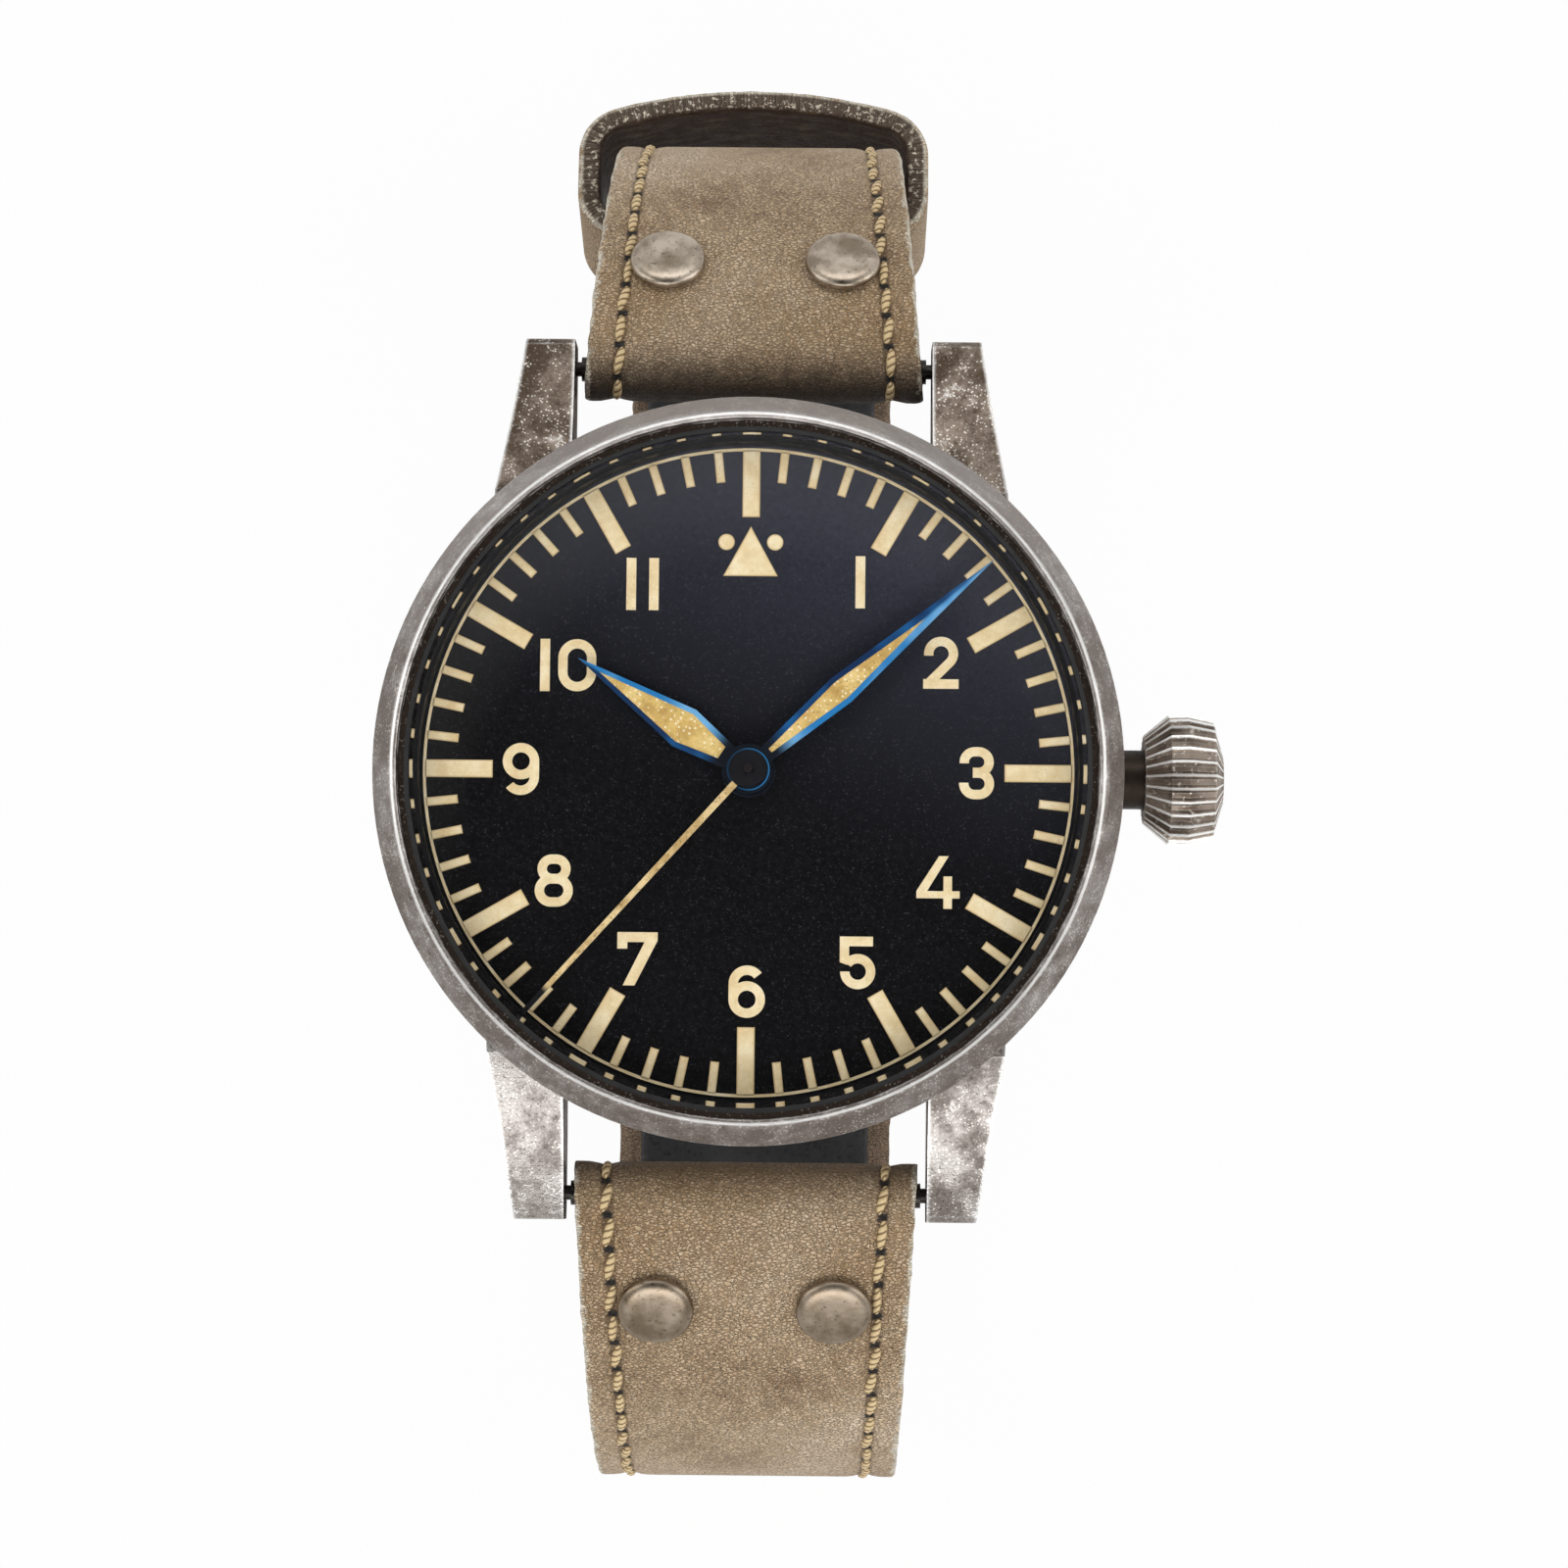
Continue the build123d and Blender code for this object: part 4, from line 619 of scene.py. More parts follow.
class Path:
    # a smooth line in one plane: each run is a length in mm and its turn in degrees, to the left positive
    def __init__(self, start, heading, runs):
        self.runs = []
        self.length = 0.0
        for length, turn in runs:
            self.runs.append((self.length, length, turn, start, heading))
            start, heading = self.step(start, heading, length, turn, length)
            self.length += length

    def step(self, start, heading, length, turn, along):
        angle = math.radians(heading)
        if not turn:
            return (start[0] + along * math.cos(angle), start[1] + along * math.sin(angle)), heading
        radius = length / math.radians(turn)
        after = angle + along / radius
        place = (start[0] + radius * (math.sin(after) - math.sin(angle)),
                 start[1] - radius * (math.cos(after) - math.cos(angle)))
        return place, math.degrees(after)

    def spot(self, along):
        for begun, length, turn, start, heading in self.runs:
            if along <= begun + length:
                break
        return self.step(start, heading, length, turn, along - begun)

    def at(self, along, depth=0.0, ahead=0.0):
        # the point that lies so deep to the right of the line, and so far ahead along its tangent
        place, heading = self.spot(along)
        angle = math.radians(heading)
        return (place[0] + depth * math.sin(angle) + ahead * math.cos(angle),
                place[1] - depth * math.cos(angle) + ahead * math.sin(angle))


def flatStrip(name, start, end, halfWidth, thickness, edge, step=0.45):
    # lies flat in mm: X across, Y along its path, the grain side at z = 0
    deselectAll()
    columns = round(2 * halfWidth(start) / step)
    rows = round((end - start) / step)
    bpy.ops.mesh.primitive_grid_add(x_subdivisions=columns, y_subdivisions=rows, size=1)
    piece = bpy.context.object
    piece.name = name
    for vertex in piece.data.vertices:
        along = start + (vertex.co.y + 0.5) * (end - start)
        vertex.co = Vector((vertex.co.x * 2 * halfWidth(along), along, 0))
    thicken = piece.modifiers.new("thicken", "SOLIDIFY")
    thicken.thickness = thickness
    thicken.offset = -1
    soften = piece.modifiers.new("soften", "BEVEL")
    soften.width = edge
    soften.segments = 3
    soften.limit_method = "ANGLE"
    applyAll(piece)
    return piece


def wrap(piece, path, place, halfWidth, thickness, depthAt=None, ragged=0.0, groove=0.0):
    # notes the flat places for the leather's pattern, then bends the strip along its path
    mesh = piece.data
    flat = [vertex.co.copy() for vertex in mesh.vertices]
    fromEdge = mesh.attributes.new("fromEdge", "FLOAT", "POINT")
    inward = mesh.attributes.new("inward", "FLOAT", "POINT")
    for index, spot in enumerate(flat):
        gap = halfWidth(spot.y) - abs(spot.x)
        share = min(1.0, max(0.0, -spot.z / thickness))
        fromEdge.data[index].value = gap
        inward.data[index].value = share
        rough = ragged * noise.noise(Vector((spot.x, spot.y * 0.9, 3 * share)))
        off = (gap - stitching["inset"]) / strap["grooveSpread"]
        dip = groove * math.exp(-off ** 2) if share < 0.5 else 0.0
        depth = depthAt(spot.y, share) if depthAt else share * thickness
        across = spot.x + math.copysign(rough if gap < 1.0 else 0.0, spot.x)
        mesh.vertices[index].co = Vector(place(across, *path.at(spot.y, depth + dip))) * mm
    uv = mesh.uv_layers[0] if mesh.uv_layers else mesh.uv_layers.new(name="flat")
    for loop in mesh.loops:
        spot = flat[loop.vertex_index]
        uv.data[loop.index].uv = (spot.y / 100, spot.x / 100)
    for face in mesh.polygons:
        face.use_smooth = True
    mesh.update()


# Leather strap: each piece is modelled flat and bent along its path from inside the roll to the buckle

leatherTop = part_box("upper_strap_leather")
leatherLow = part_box("lower_strap_leather")
strap = {
    "bar": (25.4, 2.4),
    "roll": 1.95,
    "slope": 18.0,
    "reach": leatherTop[1].y / mm,
    "halfWidth": leatherTop[1].x / mm,
    "backHalf": {"upper": 9.1, "lower": 9.5},
    "flatLevel": {"upper": leatherTop[0].z / mm, "lower": leatherLow[0].z / mm},
    "flatEnd": {"upper": 1.5, "lower": -23.5},
    "leather": 2.3,
    "rollWall": 1.1,
    "flap": 26.0,
    "flapInset": 0.6,
    "eye": 1.65,
    "tailPoint": 4.0,
    "lining": 1.0,
    "liningHalf": 8.0,
    "edge": 0.45,
    "ragged": 0.16,
    "groove": 0.22,
    "grooveSpread": 0.55,
    "flapFade": 3.0,
    "flapThin": 0.1,
    "growth": 2.5,
    "eyeTurn": 200,
    "liningGap": 1.0,
    "liningStop": 2.5,
    "liningEdge": 0.25,
    "liningStep": 0.8,
}


def strapPath(side):
    # height against distance from the dial's middle, starting at the flap's end inside the loop
    slope = math.radians(strap["slope"])
    barY, barZ = strap["bar"]
    roll = strap["roll"]
    bend = (strap["reach"] - barY - roll * math.sin(slope)) / (1 - math.sin(slope))
    centreY = strap["reach"] - bend
    centreZ = barZ + (roll - bend) * math.cos(slope)
    lower = centreZ - strap["flatLevel"][side]
    inner = bend - 2 * roll
    flapAngle = 90 - strap["slope"] - strap["flap"]
    flapTurn = math.radians(flapAngle)
    start = (centreY + inner * math.cos(flapTurn), centreZ + inner * math.sin(flapTurn))
    upperTurn = 90 - strap["slope"]
    runs = [(inner * math.radians(strap["flap"]), strap["flap"]), (roll * math.pi, -180),
            (bend * math.radians(upperTurn), -upperTurn), (lower * math.pi / 2, -90),
            (strap["reach"] - lower - strap["flatEnd"][side], 0)]
    if side == "upper":
        runs.append((strap["eye"] * math.radians(strap["eyeTurn"]), -strap["eyeTurn"]))
    return Path(start, flapAngle + 90, runs)


def strapHalf(side, path):
    horizon = path.runs[3][0]
    root = strap["bar"][0] - strap["roll"]

    def half(along):
        back = strap["backHalf"][side]
        if along < horizon:
            share = (path.at(along)[0] - root) / (strap["reach"] - root)
            return strap["halfWidth"] + (back - strap["halfWidth"]) * max(0.0, share)
        left = path.length - along
        if side == "lower" and left < strap["tailPoint"]:
            return back * (0.5 + 0.5 * left / strap["tailPoint"])
        return back
    return half


def strapDepth(path):
    # thin in the flap and round the bar, full beyond it
    rollStart = path.runs[1][0]
    rollEnd = path.runs[2][0]

    def depth(along, share):
        if along < rollStart:
            near = min(1.0, (rollStart - along) / strap["flapFade"])
            return strap["flapInset"] * near + share * (strap["rollWall"] - strap["flapThin"] * near)
        if along < rollEnd:
            return share * strap["rollWall"]
        grown = min(1.0, (along - rollEnd) / strap["growth"])
        return share * (strap["rollWall"] + (strap["leather"] - strap["rollWall"]) * grown)
    return depth


def strapPlace(side):
    if side == "upper":
        return lambda x, y, z: (x, y, z)
    return lambda x, y, z: (-x, -y, z)


holes = {
    "first": -14.6,
    "pitch": 6.5,
    "count": 6,
    "width": 2.0,
    "length": 3.6,
    "slot": 2.4,
    "slotRun": 9.0,
    "slotStart": 0.5,
    "cutDepth": 8.0,
}


def ovalCutter(along):
    deselectAll()
    run = holes["length"] - holes["width"]
    bpy.ops.mesh.primitive_cylinder_add(vertices=24, radius=holes["width"] / 2, depth=holes["cutDepth"],
                                        location=(0, 0, 0))
    cutter = bpy.context.object
    for vertex in cutter.data.vertices:
        vertex.co.y += along + math.copysign(run / 2, vertex.co.y)
    return cutter


def cutWith(piece, cutter):
    cut = piece.modifiers.new("cut", "BOOLEAN")
    cut.object = cutter
    cut.solver = "EXACT"
    applyAll(piece)
    bpy.data.objects.remove(cutter)


def strapPiece(side):
    path = strapPath(side)
    half = strapHalf(side, path)
    piece = flatStrip(side + "Strap", 0, path.length, half, strap["leather"], strap["edge"])
    flat = path.runs[4][0]
    if side == "upper":
        deselectAll()
        bpy.ops.mesh.primitive_cube_add(size=1, location=(0, path.runs[5][0] + holes["slotStart"], 0))
        slot = bpy.context.object
        slot.scale = (holes["slot"], holes["slotRun"], holes["cutDepth"])
        bpy.ops.object.transform_apply(location=True, rotation=True, scale=True)
        cutWith(piece, slot)
    else:
        begun = strap["reach"] - (path.runs[3][1] / (math.pi / 2))
        cutters = [ovalCutter(flat + begun + holes["first"] + number * holes["pitch"])
                   for number in range(holes["count"])]
        cutWith(piece, joined("holes", cutters))
    wrap(piece, path, strapPlace(side), half, strap["leather"], strapDepth(path), strap["ragged"],
         strap["groove"])
    finishPiece(piece, slotFinish["strap_leather"], "watch")
    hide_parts(side + "_strap_leather")


def liningPiece(side):
    path = strapPath(side)
    half = lambda along: strap["liningHalf"]
    start = path.runs[2][0] + path.runs[2][1] * (strap["flap"] + strap["liningGap"]) / (90 - strap["slope"])
    end = path.runs[4][0] + path.runs[4][1] - (strap["liningStop"] if side == "upper" else strap["tailPoint"])
    piece = flatStrip(side + "Lining", start, end, half, strap["lining"], strap["liningEdge"],
                      strap["liningStep"])
    depth = lambda along, share: strap["leather"] + share * strap["lining"]
    wrap(piece, path, strapPlace(side), half, strap["lining"], depth)
    finishPiece(piece, slotFinish["strap_lining"], "watch")
    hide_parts(side + "_strap_lining")


def stitchShape():
    # one stitch along Y: a slim sphere, few faces, its twist laid out on its own map
    deselectAll()
    bpy.ops.mesh.primitive_uv_sphere_add(segments=8, ring_count=6, radius=1)
    stitch = bpy.context.object
    mesh = stitch.data
    for vertex in mesh.vertices:
        x, y, z = vertex.co
        vertex.co = Vector((x * stitching["radius"], z * stitching["length"] / 2, -y * stitching["radius"]))
    return stitch


def stitchRows(side):
    path = strapPath(side)
    half = strapHalf(side, path)
    place = strapPlace(side)
    pattern = stitchShape()
    source = pattern.data
    spots = [vertex.co.copy() for vertex in source.vertices]
    faces = [tuple(face.vertices) for face in source.polygons]
    first = stitching["first"]
    spare = stitching["stop"] if side == "upper" else strap["tailPoint"] + stitching["tailGap"]
    last = path.runs[4][0] + path.runs[4][1] - spare
    count = int((last - first) / stitching["pitch"])
    chance = random.Random(side)
    points = []
    polygons = []
    twists = []
    for number in range(count):
        along = first + (number + 0.5) * stitching["pitch"]
        for hand in (-1, 1):
            across = hand * (half(along) - stitching["inset"]) + stitching["stray"] * chance.uniform(-1, 1)
            slant = math.radians(stitching["slant"] * chance.uniform(0.3, 1.6))
            level = strap["groove"] - stitching["rise"]
            begun = len(points)
            for spot in spots:
                x = across + spot.x * math.cos(slant) + spot.y * math.sin(slant)
                y = along + spot.y * math.cos(slant) - spot.x * math.sin(slant)
                points.append(Vector(place(x, *path.at(y, level - spot.z))) * mm)
                turn = math.atan2(spot.z, spot.x) / (2 * math.pi)
                twists.append((0.5 + spot.y / stitching["length"], turn))
            polygons += [tuple(begun + index for index in corner) for corner in faces]
    bpy.data.objects.remove(pattern)
    mesh = bpy.data.meshes.new(side + "Stitches")
    mesh.from_pydata(points, [], polygons)
    uv = mesh.uv_layers.new(name="twist")
    for loop in mesh.loops:
        uv.data[loop.index].uv = twists[loop.vertex_index]
    for face in mesh.polygons:
        face.use_smooth = True
    piece = bpy.data.objects.new(side + "Stitches", mesh)
    bpy.context.scene.collection.objects.link(piece)
    finishPiece(piece, thread, "watch")


rivet = {
    "run": 7.0,
    "aside": 5.45,
    "radius": 2.34,
    "rise": 0.95,
    "waist": 0.34,
    "fullness": 0.40,
    "washer": 2.0,
    "washerRise": 0.45,
}


def rivetHead(radius, rise, waist):
    # a sphere squared off into a low dome with a rolled rim, standing on z = 0
    deselectAll()
    bpy.ops.mesh.primitive_uv_sphere_add(segments=48, ring_count=32, radius=1)
    head = bpy.context.object
    for vertex in head.data.vertices:
        x, y, z = vertex.co
        out = math.hypot(x, y)
        wide = radius * out ** (rivet["fullness"] - 1) if out > 1e-6 else 0.0
        level = waist + (rise - waist) * z ** 0.85 if z > 0 else waist * (1 + z)
        vertex.co = (x * wide, y * wide, level)
    for face in head.data.polygons:
        face.use_smooth = True
    return head


def strapRivets():
    heads = []
    for side in ("upper", "lower"):
        path = strapPath(side)
        place = strapPlace(side)
        along = path.runs[2][0] + rivet["run"]
        inside = strap["leather"] + strap["lining"]
        for hand in (-1, 1):
            cap = rivetHead(rivet["radius"], rivet["rise"], rivet["waist"])
            for vertex in cap.data.vertices:
                x, y, z = vertex.co
                vertex.co = Vector(place(hand * rivet["aside"] + x, *path.at(along, -z, y))) * mm
            washer = rivetHead(rivet["washer"], rivet["washerRise"], rivet["washerRise"] / 2)
            for vertex in washer.data.vertices:
                x, y, z = vertex.co
                vertex.co = Vector(place(hand * rivet["aside"] + x, *path.at(along, inside + z, -y))) * mm
            heads += [cap, washer]
    piece = joined("rivetHeads", heads)
    finishPiece(piece, slotFinish["rivet_bronze"], "watch")
    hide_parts("strap_rivets")


thread = threadFinish()
for side in ("upper", "lower"):
    strapPiece(side)
    liningPiece(side)
    stitchRows(side)
    print("the", side, "strap is bent and sewn")
strapRivets()
print("the straps are riveted")


# Keepers: each a band closed into a loop, its seam on the side that lies inside the strap

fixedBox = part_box("fixed_keeper")
keepers = {
    "wall": 1.5,
    "freeHalf": 11.8,
    "freeAside": -0.5,
    "freeNear": -6.5,
    "freeFar": 4.6,
    "freeCorner": 3.5,
    "freeLift": 16.4,
    "freeWidth": 9.0,
    "freeTilt": 14.0,
    "freeBend": 19.5,
    "fixedCorner": 1.6,
    "edge": 0.4,
    "step": 0.4,
    "ragged": 0.18,
}


def loopPath(half, near, far, corner, lift):
    # clockwise from the middle of the near side; the far side is an arc that starts at the lift angle
    rise = math.radians(lift)
    straight = half - corner
    arch = (half - corner * (1 - math.sin(rise))) / math.sin(rise) if lift else 0
    top = arch * (1 - math.cos(rise))
    side = far - near - corner - corner * math.cos(rise) - top
    bend = (corner * math.radians(90 - lift), lift - 90)
    across = (2 * arch * rise, -2 * lift) if lift else (2 * straight, 0)
    return Path((0, near), 180, [(straight, 0), (corner * math.pi / 2, -90), (side, 0), bend, across, bend,
                                 (side, 0), (corner * math.pi / 2, -90), (straight, 0)])


def keeperPiece(name, node, body, path, width, place):
    half = lambda along: width / 2
    piece = flatStrip(name, 0, path.length, half, keepers["wall"], keepers["edge"], keepers["step"])
    wrap(piece, path, place, half, keepers["wall"], None, keepers["ragged"])
    finishPiece(piece, keeperLeather, body)
    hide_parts(node)


def freeKeeper():
    tilt = math.radians(keepers["freeTilt"])
    bend = keepers["freeBend"]
    middleY = strap["reach"] - bend * (1 - math.cos(tilt))
    middleZ = strap["flatLevel"]["upper"] + bend * (1 - math.sin(tilt))
    path = loopPath(keepers["freeHalf"], keepers["freeNear"], keepers["freeFar"], keepers["freeCorner"],
                    keepers["freeLift"])

    def place(across, x, out):
        return (x + keepers["freeAside"], middleY + out * math.cos(tilt) + across * math.sin(tilt),
                middleZ - out * math.sin(tilt) + across * math.cos(tilt))
    keeperPiece("freeKeeperLoop", "free_keeper", "free_keeper", path, keepers["freeWidth"], place)


def fixedKeeper():
    low, high = fixedBox
    path = loopPath(high.x / mm, low.z / mm, high.z / mm, keepers["fixedCorner"], 0)
    middle = (low.y + high.y) / 2 / mm
    keeperPiece("fixedKeeperLoop", "fixed_keeper", "watch", path, (high.y - low.y) / mm,
                lambda across, x, z: (x, middle - across, z))


keeperLeather = strapLeather("keeperLeather", "keeper")
freeKeeper()
fixedKeeper()
print("the keepers are closed")


# Dial print: ring, ticks, batons, numerals and the triangle with its two dots

dial = {
    "level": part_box("dial")[1].z / mm,
    "ink": 0.03,
    "ringOuter": 19.5,
    "ringInner": 19.32,
    "tick": (0.52, 1.84),
    "baton": (1.05, 4.0),
    "stroke": 0.56,
    "strokeStep": 0.1,
    "strokeLift": 0.004,
    "outline": 0.11,
    "triangleTip": 14.75,
    "triangleBase": 11.75,
    "triangleHalf": 1.64,
    "dotReach": 13.8,
    "dotAside": 1.46,
    "dotRadius": 0.49,
    "dotSteps": 40,
    "ringSteps": 240,
    "ringOverlap": 0.05,
    "layerLifts": 1.5,
    "clear": 0.002,
}
numerals = {1: (13.2, ("1", 0.0)), 2: (13.25, ("2", 0.0)), 3: (13.65, ("3", 0.0)), 4: (13.15, ("4", 0.0)),
            5: (13.2, ("5", 0.0)), 6: (13.2, ("6", 0.0)), 7: (13.05, ("7", 0.0)), 8: (13.35, ("8", 0.0)),
            9: (13.6, ("9", 0.0)), 10: (12.55, ("1", -1.4), ("0", 0.53)),
            11: (12.95, ("1", -0.68), ("1", 0.68))}


def bend(radius, turn):
    # one run of a path, as long as its turn needs
    return radius * math.radians(abs(turn)), turn


sixRuns = [bend(0.82, 142), (0.93, 0), bend(0.81, 360)]
figureStrokes = {
    "0": [((-0.86, -0.43), 90, [(0.86, 0), bend(0.86, -180), (0.86, 0), bend(0.86, -180)])],
    "2": [((-0.74, 0.42), 90, [(0.12, 0), bend(0.74, -225), (1.6, 0), bend(0.5, 45)])],
    "3": [((-0.74, 0.58), 90, [(0.08, 0), bend(0.62, -90), (0.24, 0), bend(0.62, -180), (0.35, 0)]),
          ((-0.23, 0.0), 0, [(0.35, 0), bend(0.645, -180), (0.24, 0), bend(0.645, -90), (0.06, 0)])],
    "5": [((-0.60, -0.07), 55, [bend(0.77, -325)])],
    "6": [((0.686, 0.965), 128, sixRuns)],
    "8": [((-0.13, 1.285), 0, [(0.26, 0), bend(0.58, -180), (0.26, 0), bend(0.58, -180)]),
          ((-0.17, 0.10), 0, [(0.34, 0), bend(0.69, -180), (0.34, 0), bend(0.69, -180)])],
    "9": [((-0.686, -0.965), 308, sixRuns)],
}
figurePlates = {
    "1": [[(-0.29, -1.575), (0.29, -1.575), (0.29, 1.575), (-0.29, 1.575)]],
    "2": [[(-1.06, -1.575), (1.06, -1.575), (1.06, -1.0), (-1.06, -1.0)]],
    "4": [[(0.05, 1.575), (-1.29, -0.52), (-0.66, -0.52), (0.63, 1.575)],
          [(-1.29, -0.95), (1.29, -0.95), (1.29, -0.52), (-1.29, -0.52)],
          [(0.32, -1.575), (0.83, -1.575), (0.83, 0.36), (0.32, 0.36)]],
    "5": [[(-1.045, 1.575), (-1.045, 0.04), (-0.6, -0.12), (-0.49, 0.1), (-0.49, 1.0), (0.93, 1.0),
           (0.93, 1.575)]],
    "7": [[(-1.2, 1.59), (-1.2, 0.6), (-0.6, 0.6), (-0.6, 1.0), (0.43, 1.0), (-0.85, -1.59), (-0.15, -1.59),
           (1.2, 1.09), (1.2, 1.59)]],
}


def inkPlate(points):
    mesh = bpy.data.meshes.new("ink")
    mesh.from_pydata([(x * mm, y * mm, 0) for x, y in points], [], [tuple(range(len(points)))])
    plate = bpy.data.objects.new("ink", mesh)
    bpy.context.scene.collection.objects.link(plate)
    return plate


def inkBar(width, inner, outer, hour):
    angle = -math.radians(30 * hour)
    corners = [(-width / 2, inner), (width / 2, inner), (width / 2, outer), (-width / 2, outer)]
    return inkPlate([(x * math.cos(angle) - y * math.sin(angle), x * math.sin(angle) + y * math.cos(angle))
                     for x, y in corners])


def inkStroke(x, y, start, heading, runs):
    # a band of even width along a path
    line = Path(start, heading, runs)
    steps = max(2, round(line.length / dial["strokeStep"]))
    points = []
    for step in range(steps + 1):
        for side in (-1, 1):
            across, up = line.at(line.length * step / steps, side * dial["stroke"] / 2)
            points.append(((x + across) * mm, (y + up) * mm, dial["strokeLift"] * step / steps * mm))
    mesh = bpy.data.meshes.new("ink")
    faces = [(2 * step, 2 * step + 1, 2 * step + 3, 2 * step + 2) for step in range(steps)]
    mesh.from_pydata(points, [], faces)
    band = bpy.data.objects.new("ink", mesh)
    bpy.context.scene.collection.objects.link(band)
    return band


def inkFigure(sign, x, y):
    strokes = [inkStroke(x, y, *stroke) for stroke in figureStrokes.get(sign, [])]
    plates = [inkPlate([(x + across, y + up) for across, up in points])
              for points in figurePlates.get(sign, [])]
    # each part of a figure lies a hair above the last, so that where they cross only one shows
    for layer, part in enumerate(strokes + plates):
        for vertex in part.data.vertices:
            vertex.co.z += layer * dial["layerLifts"] * dial["strokeLift"] * mm
    return strokes + plates


def outlined(plates):
    # the ticks, batons, triangle and dots get a narrow rim of their own
    whole = joined("outlined", plates)
    whole.data.attributes.new("rim", "FLOAT", "POINT")
    bpy.ops.object.mode_set(mode="EDIT")
    bpy.ops.mesh.select_all(action="SELECT")
    bpy.ops.mesh.inset(thickness=dial["outline"] * mm, use_individual=True)
    bpy.ops.object.mode_set(mode="OBJECT")
    rim = whole.data.attributes["rim"]
    for vertex in whole.data.vertices:
        rim.data[vertex.index].value = 0.0 if vertex.select else 1.0
    return whole


def inkDot(x, y):
    steps = dial["dotSteps"]
    return inkPlate([(x + dial["dotRadius"] * math.cos(2 * math.pi * step / steps),
                      y + dial["dotRadius"] * math.sin(2 * math.pi * step / steps)) for step in range(steps)])


def inkRing():
    deselectAll()
    bpy.ops.mesh.primitive_circle_add(vertices=dial["ringSteps"], radius=dial["ringOuter"] * mm,
                                      fill_type="NOTHING")
    ring = bpy.context.object
    bpy.ops.object.mode_set(mode="EDIT")
    bpy.ops.mesh.select_all(action="SELECT")
    bpy.ops.mesh.extrude_region_move()
    bpy.ops.transform.resize(value=(dial["ringInner"] / dial["ringOuter"],) * 3)
    bpy.ops.object.mode_set(mode="OBJECT")
    return ring


def hourSpot(hour, reach):
    angle = math.radians(30 * hour)
    return reach * math.sin(angle), reach * math.cos(angle)


def dialPrint():
    prints = []
    for minute in range(60):
        width, length = dial["baton"] if minute % 5 == 0 else dial["tick"]
        prints.append(inkBar(width, dial["ringInner"] - length, dial["ringInner"] + dial["ringOverlap"],
                             minute / 5))
    tip, base, half = dial["triangleTip"], dial["triangleBase"], dial["triangleHalf"]
    prints.append(inkPlate([(0, tip), (-half, base), (half, base)]))
    prints += [inkDot(side * dial["dotAside"], dial["dotReach"]) for side in (-1, 1)]
    prints = [outlined(prints), inkRing()]
    for hour, (reach, *signs) in numerals.items():
        x, y = hourSpot(hour, reach)
        for sign, aside in signs:
            prints += inkFigure(sign, x + aside, y)
    piece = joined("dialPrint", prints)
    swell = piece.modifiers.new("swell", "SOLIDIFY")
    swell.thickness = dial["ink"] * mm
    swell.offset = 0
    applyAll(piece)
    for vertex in piece.data.vertices:
        vertex.co.z += (dial["level"] + dial["ink"] / 2 + dial["clear"]) * mm
    bpy.ops.object.mode_set(mode="EDIT")
    bpy.ops.mesh.select_all(action="SELECT")
    bpy.ops.mesh.normals_make_consistent(inside=False)
    bpy.ops.object.mode_set(mode="OBJECT")
    shades = ((0.76, 0.58, 0.31), (0.84, 0.68, 0.40), (0.92, 0.79, 0.53))
    finishPiece(piece, agedLume("printInk", shades, 0.25, (0.50, 0.33, 0.12)), "watch")


dialPrint()
print("the dial is printed")


# Floor, light and background

stage = {
    "floorSize": 4.0,
    "drop": 0.00001,
    "floorShade": 0.8,
    "floorWhite": 0.95,
    "room": 0.72,
    "overhead": 0.02,
    "capStart": 0.87,
    "capEnd": 0.955,
}
# each lamp's place and size in metres, and its power in watts
lamps = {
    "lowPanel": ((0.0, -0.42, 0.38), (0.5, 0.2), 1.2),
    "topPanel": ((0.0, 0.42, 0.38), (0.5, 0.2), 0.6),
    "leftPanel": ((-0.5, 0.05, 0.35), (0.25, 0.5), 0.6),
    "rightPanel": ((0.5, 0.0, 0.3), (0.25, 0.5), 0.7),
}


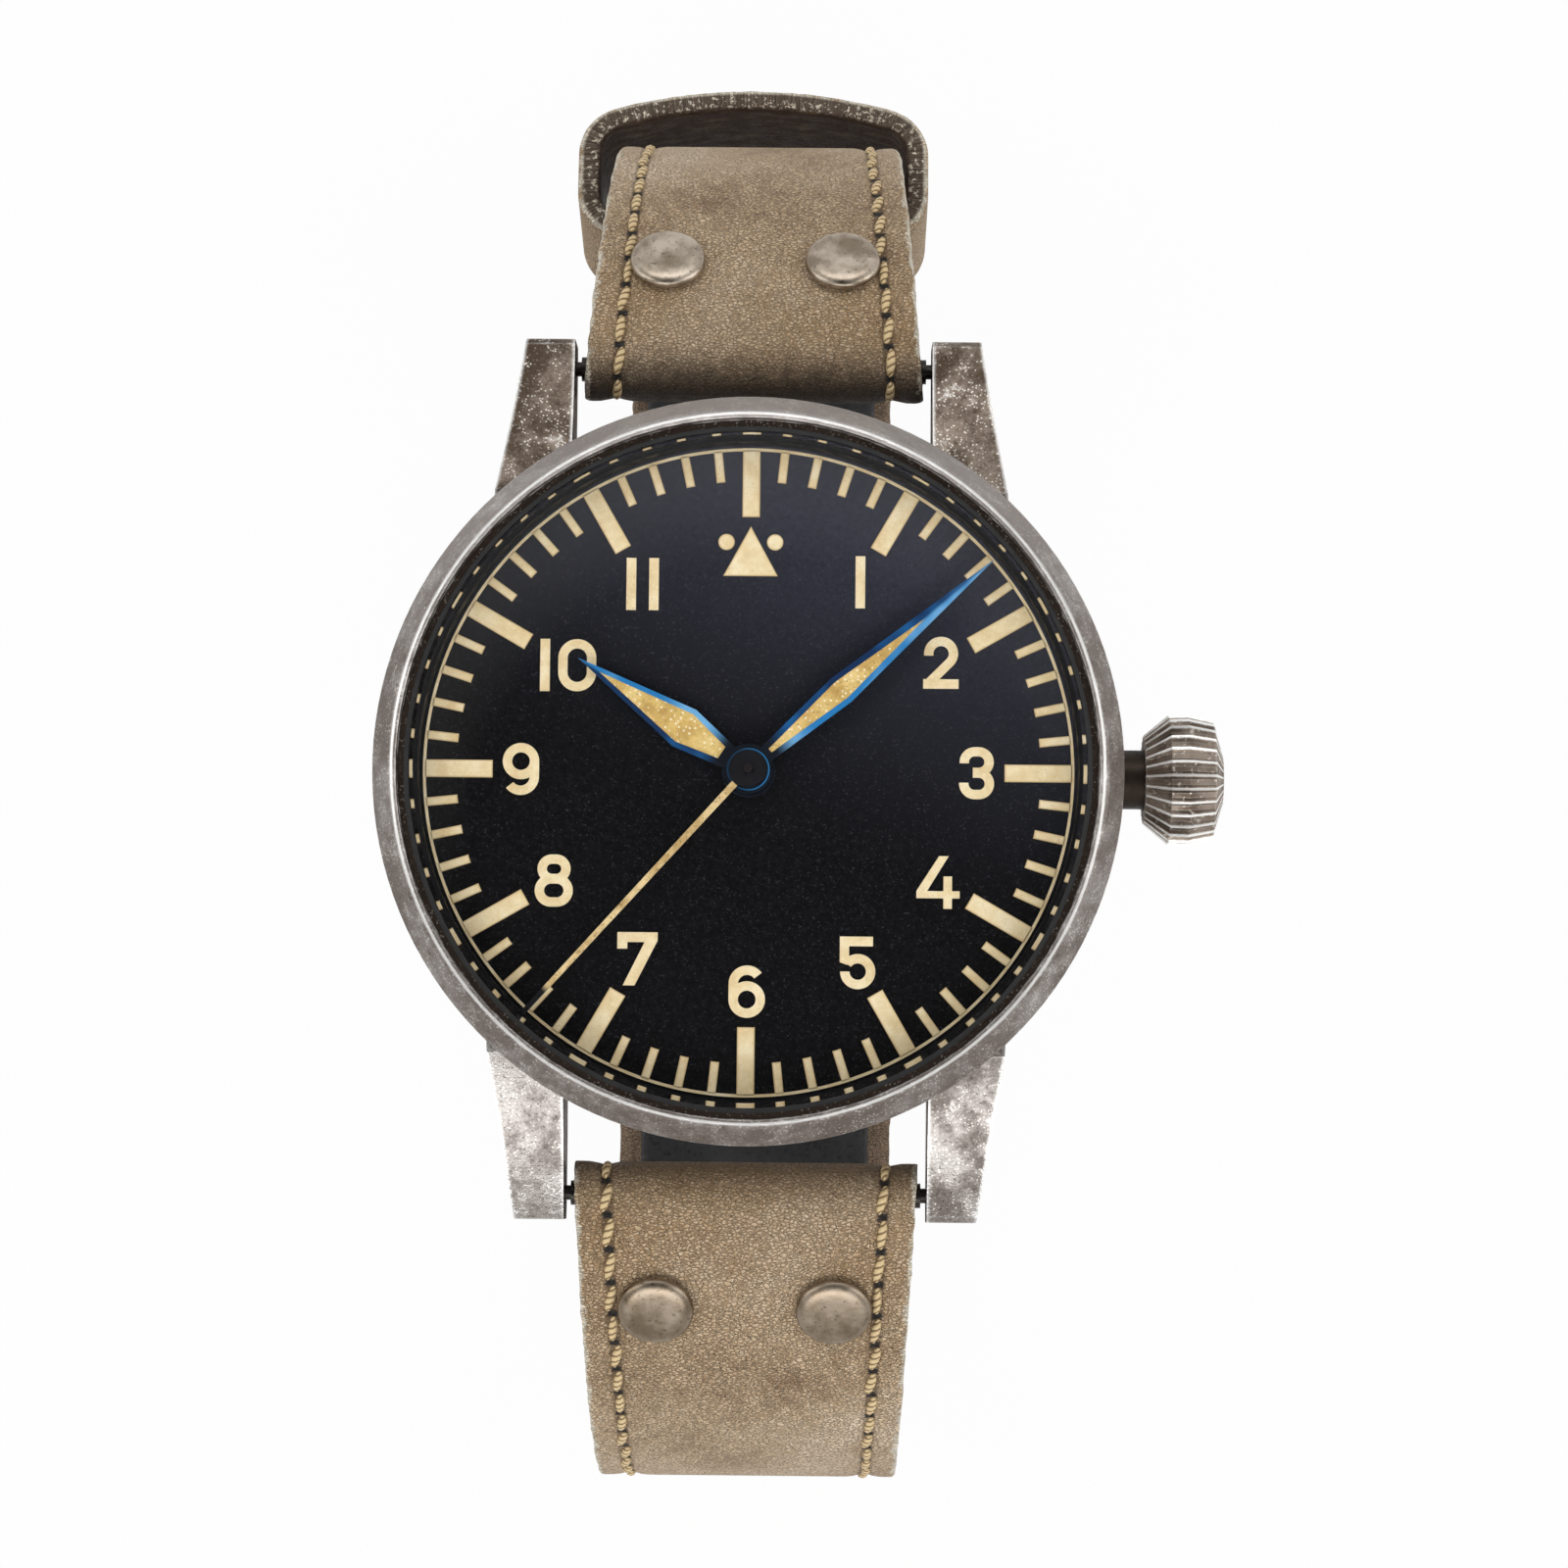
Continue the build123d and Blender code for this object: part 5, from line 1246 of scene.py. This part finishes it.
def whiteFloor():
    finish = Finish("whiteFloor", 0.9, 0.0, (stage["floorShade"],) * 3)
    white = finish.node("Emission", None, {"Color": (1, 1, 1, 1), "Strength": 1.0})
    seen = finish.node("LightPath", output="Is Camera Ray")
    both = finish.node("MixShader", None, {0: seen * stage["floorWhite"],
                                           1: Signal(finish, finish.shader.outputs[0]), 2: white})
    finish.connect(finish.tree.nodes["Material Output"].inputs["Surface"], both)
    return finish.material


def layFloor():
    deselectAll()
    bpy.ops.mesh.primitive_plane_add(size=stage["floorSize"], location=(0, 0, cadBox[0].z - stage["drop"]))
    floor = bpy.context.object
    floor.name = "floor"
    floor.data.materials.append(whiteFloor())


def addLamp(name, place, size, power):
    data = bpy.data.lights.new(name, "AREA")
    data.shape = "RECTANGLE"
    data.size, data.size_y = size
    data.energy = power
    lamp = bpy.data.objects.new(name, data)
    bpy.context.scene.collection.objects.link(lamp)
    lamp.location = place
    lamp.rotation_euler = (-Vector(place)).to_track_quat("-Z", "Y").to_euler()


def lightRoom():
    # an even white room, dark straight overhead so that the crystal stays clear
    world = bpy.data.worlds.new("studio")
    bpy.context.scene.world = world
    world.use_nodes = True
    tree = world.node_tree
    ground = tree.nodes["Background"]
    ground.inputs["Color"].default_value = (1, 1, 1, 1)
    where = tree.nodes.new("ShaderNodeTexCoord")
    split = tree.nodes.new("ShaderNodeSeparateXYZ")
    cap = tree.nodes.new("ShaderNodeMapRange")
    seen = tree.nodes.new("ShaderNodeLightPath")
    shown = tree.nodes.new("ShaderNodeMix")
    tree.links.new(where.outputs["Generated"], split.inputs[0])
    tree.links.new(split.outputs["Z"], cap.inputs["Value"])
    cap.inputs["From Min"].default_value = stage["capStart"]
    cap.inputs["From Max"].default_value = stage["capEnd"]
    cap.inputs["To Min"].default_value = stage["room"]
    cap.inputs["To Max"].default_value = stage["overhead"]
    tree.links.new(seen.outputs["Is Camera Ray"], shown.inputs["Factor"])
    tree.links.new(cap.outputs["Result"], shown.inputs["A"])
    shown.inputs["B"].default_value = 1.0
    tree.links.new(shown.outputs["Result"], ground.inputs["Strength"])
    for name, (place, size, power) in lamps.items():
        addLamp(name, place, size, power)


layFloor()
lightRoom()
bpy.context.scene.view_settings.view_transform = "Standard"
print("floor and light are set")
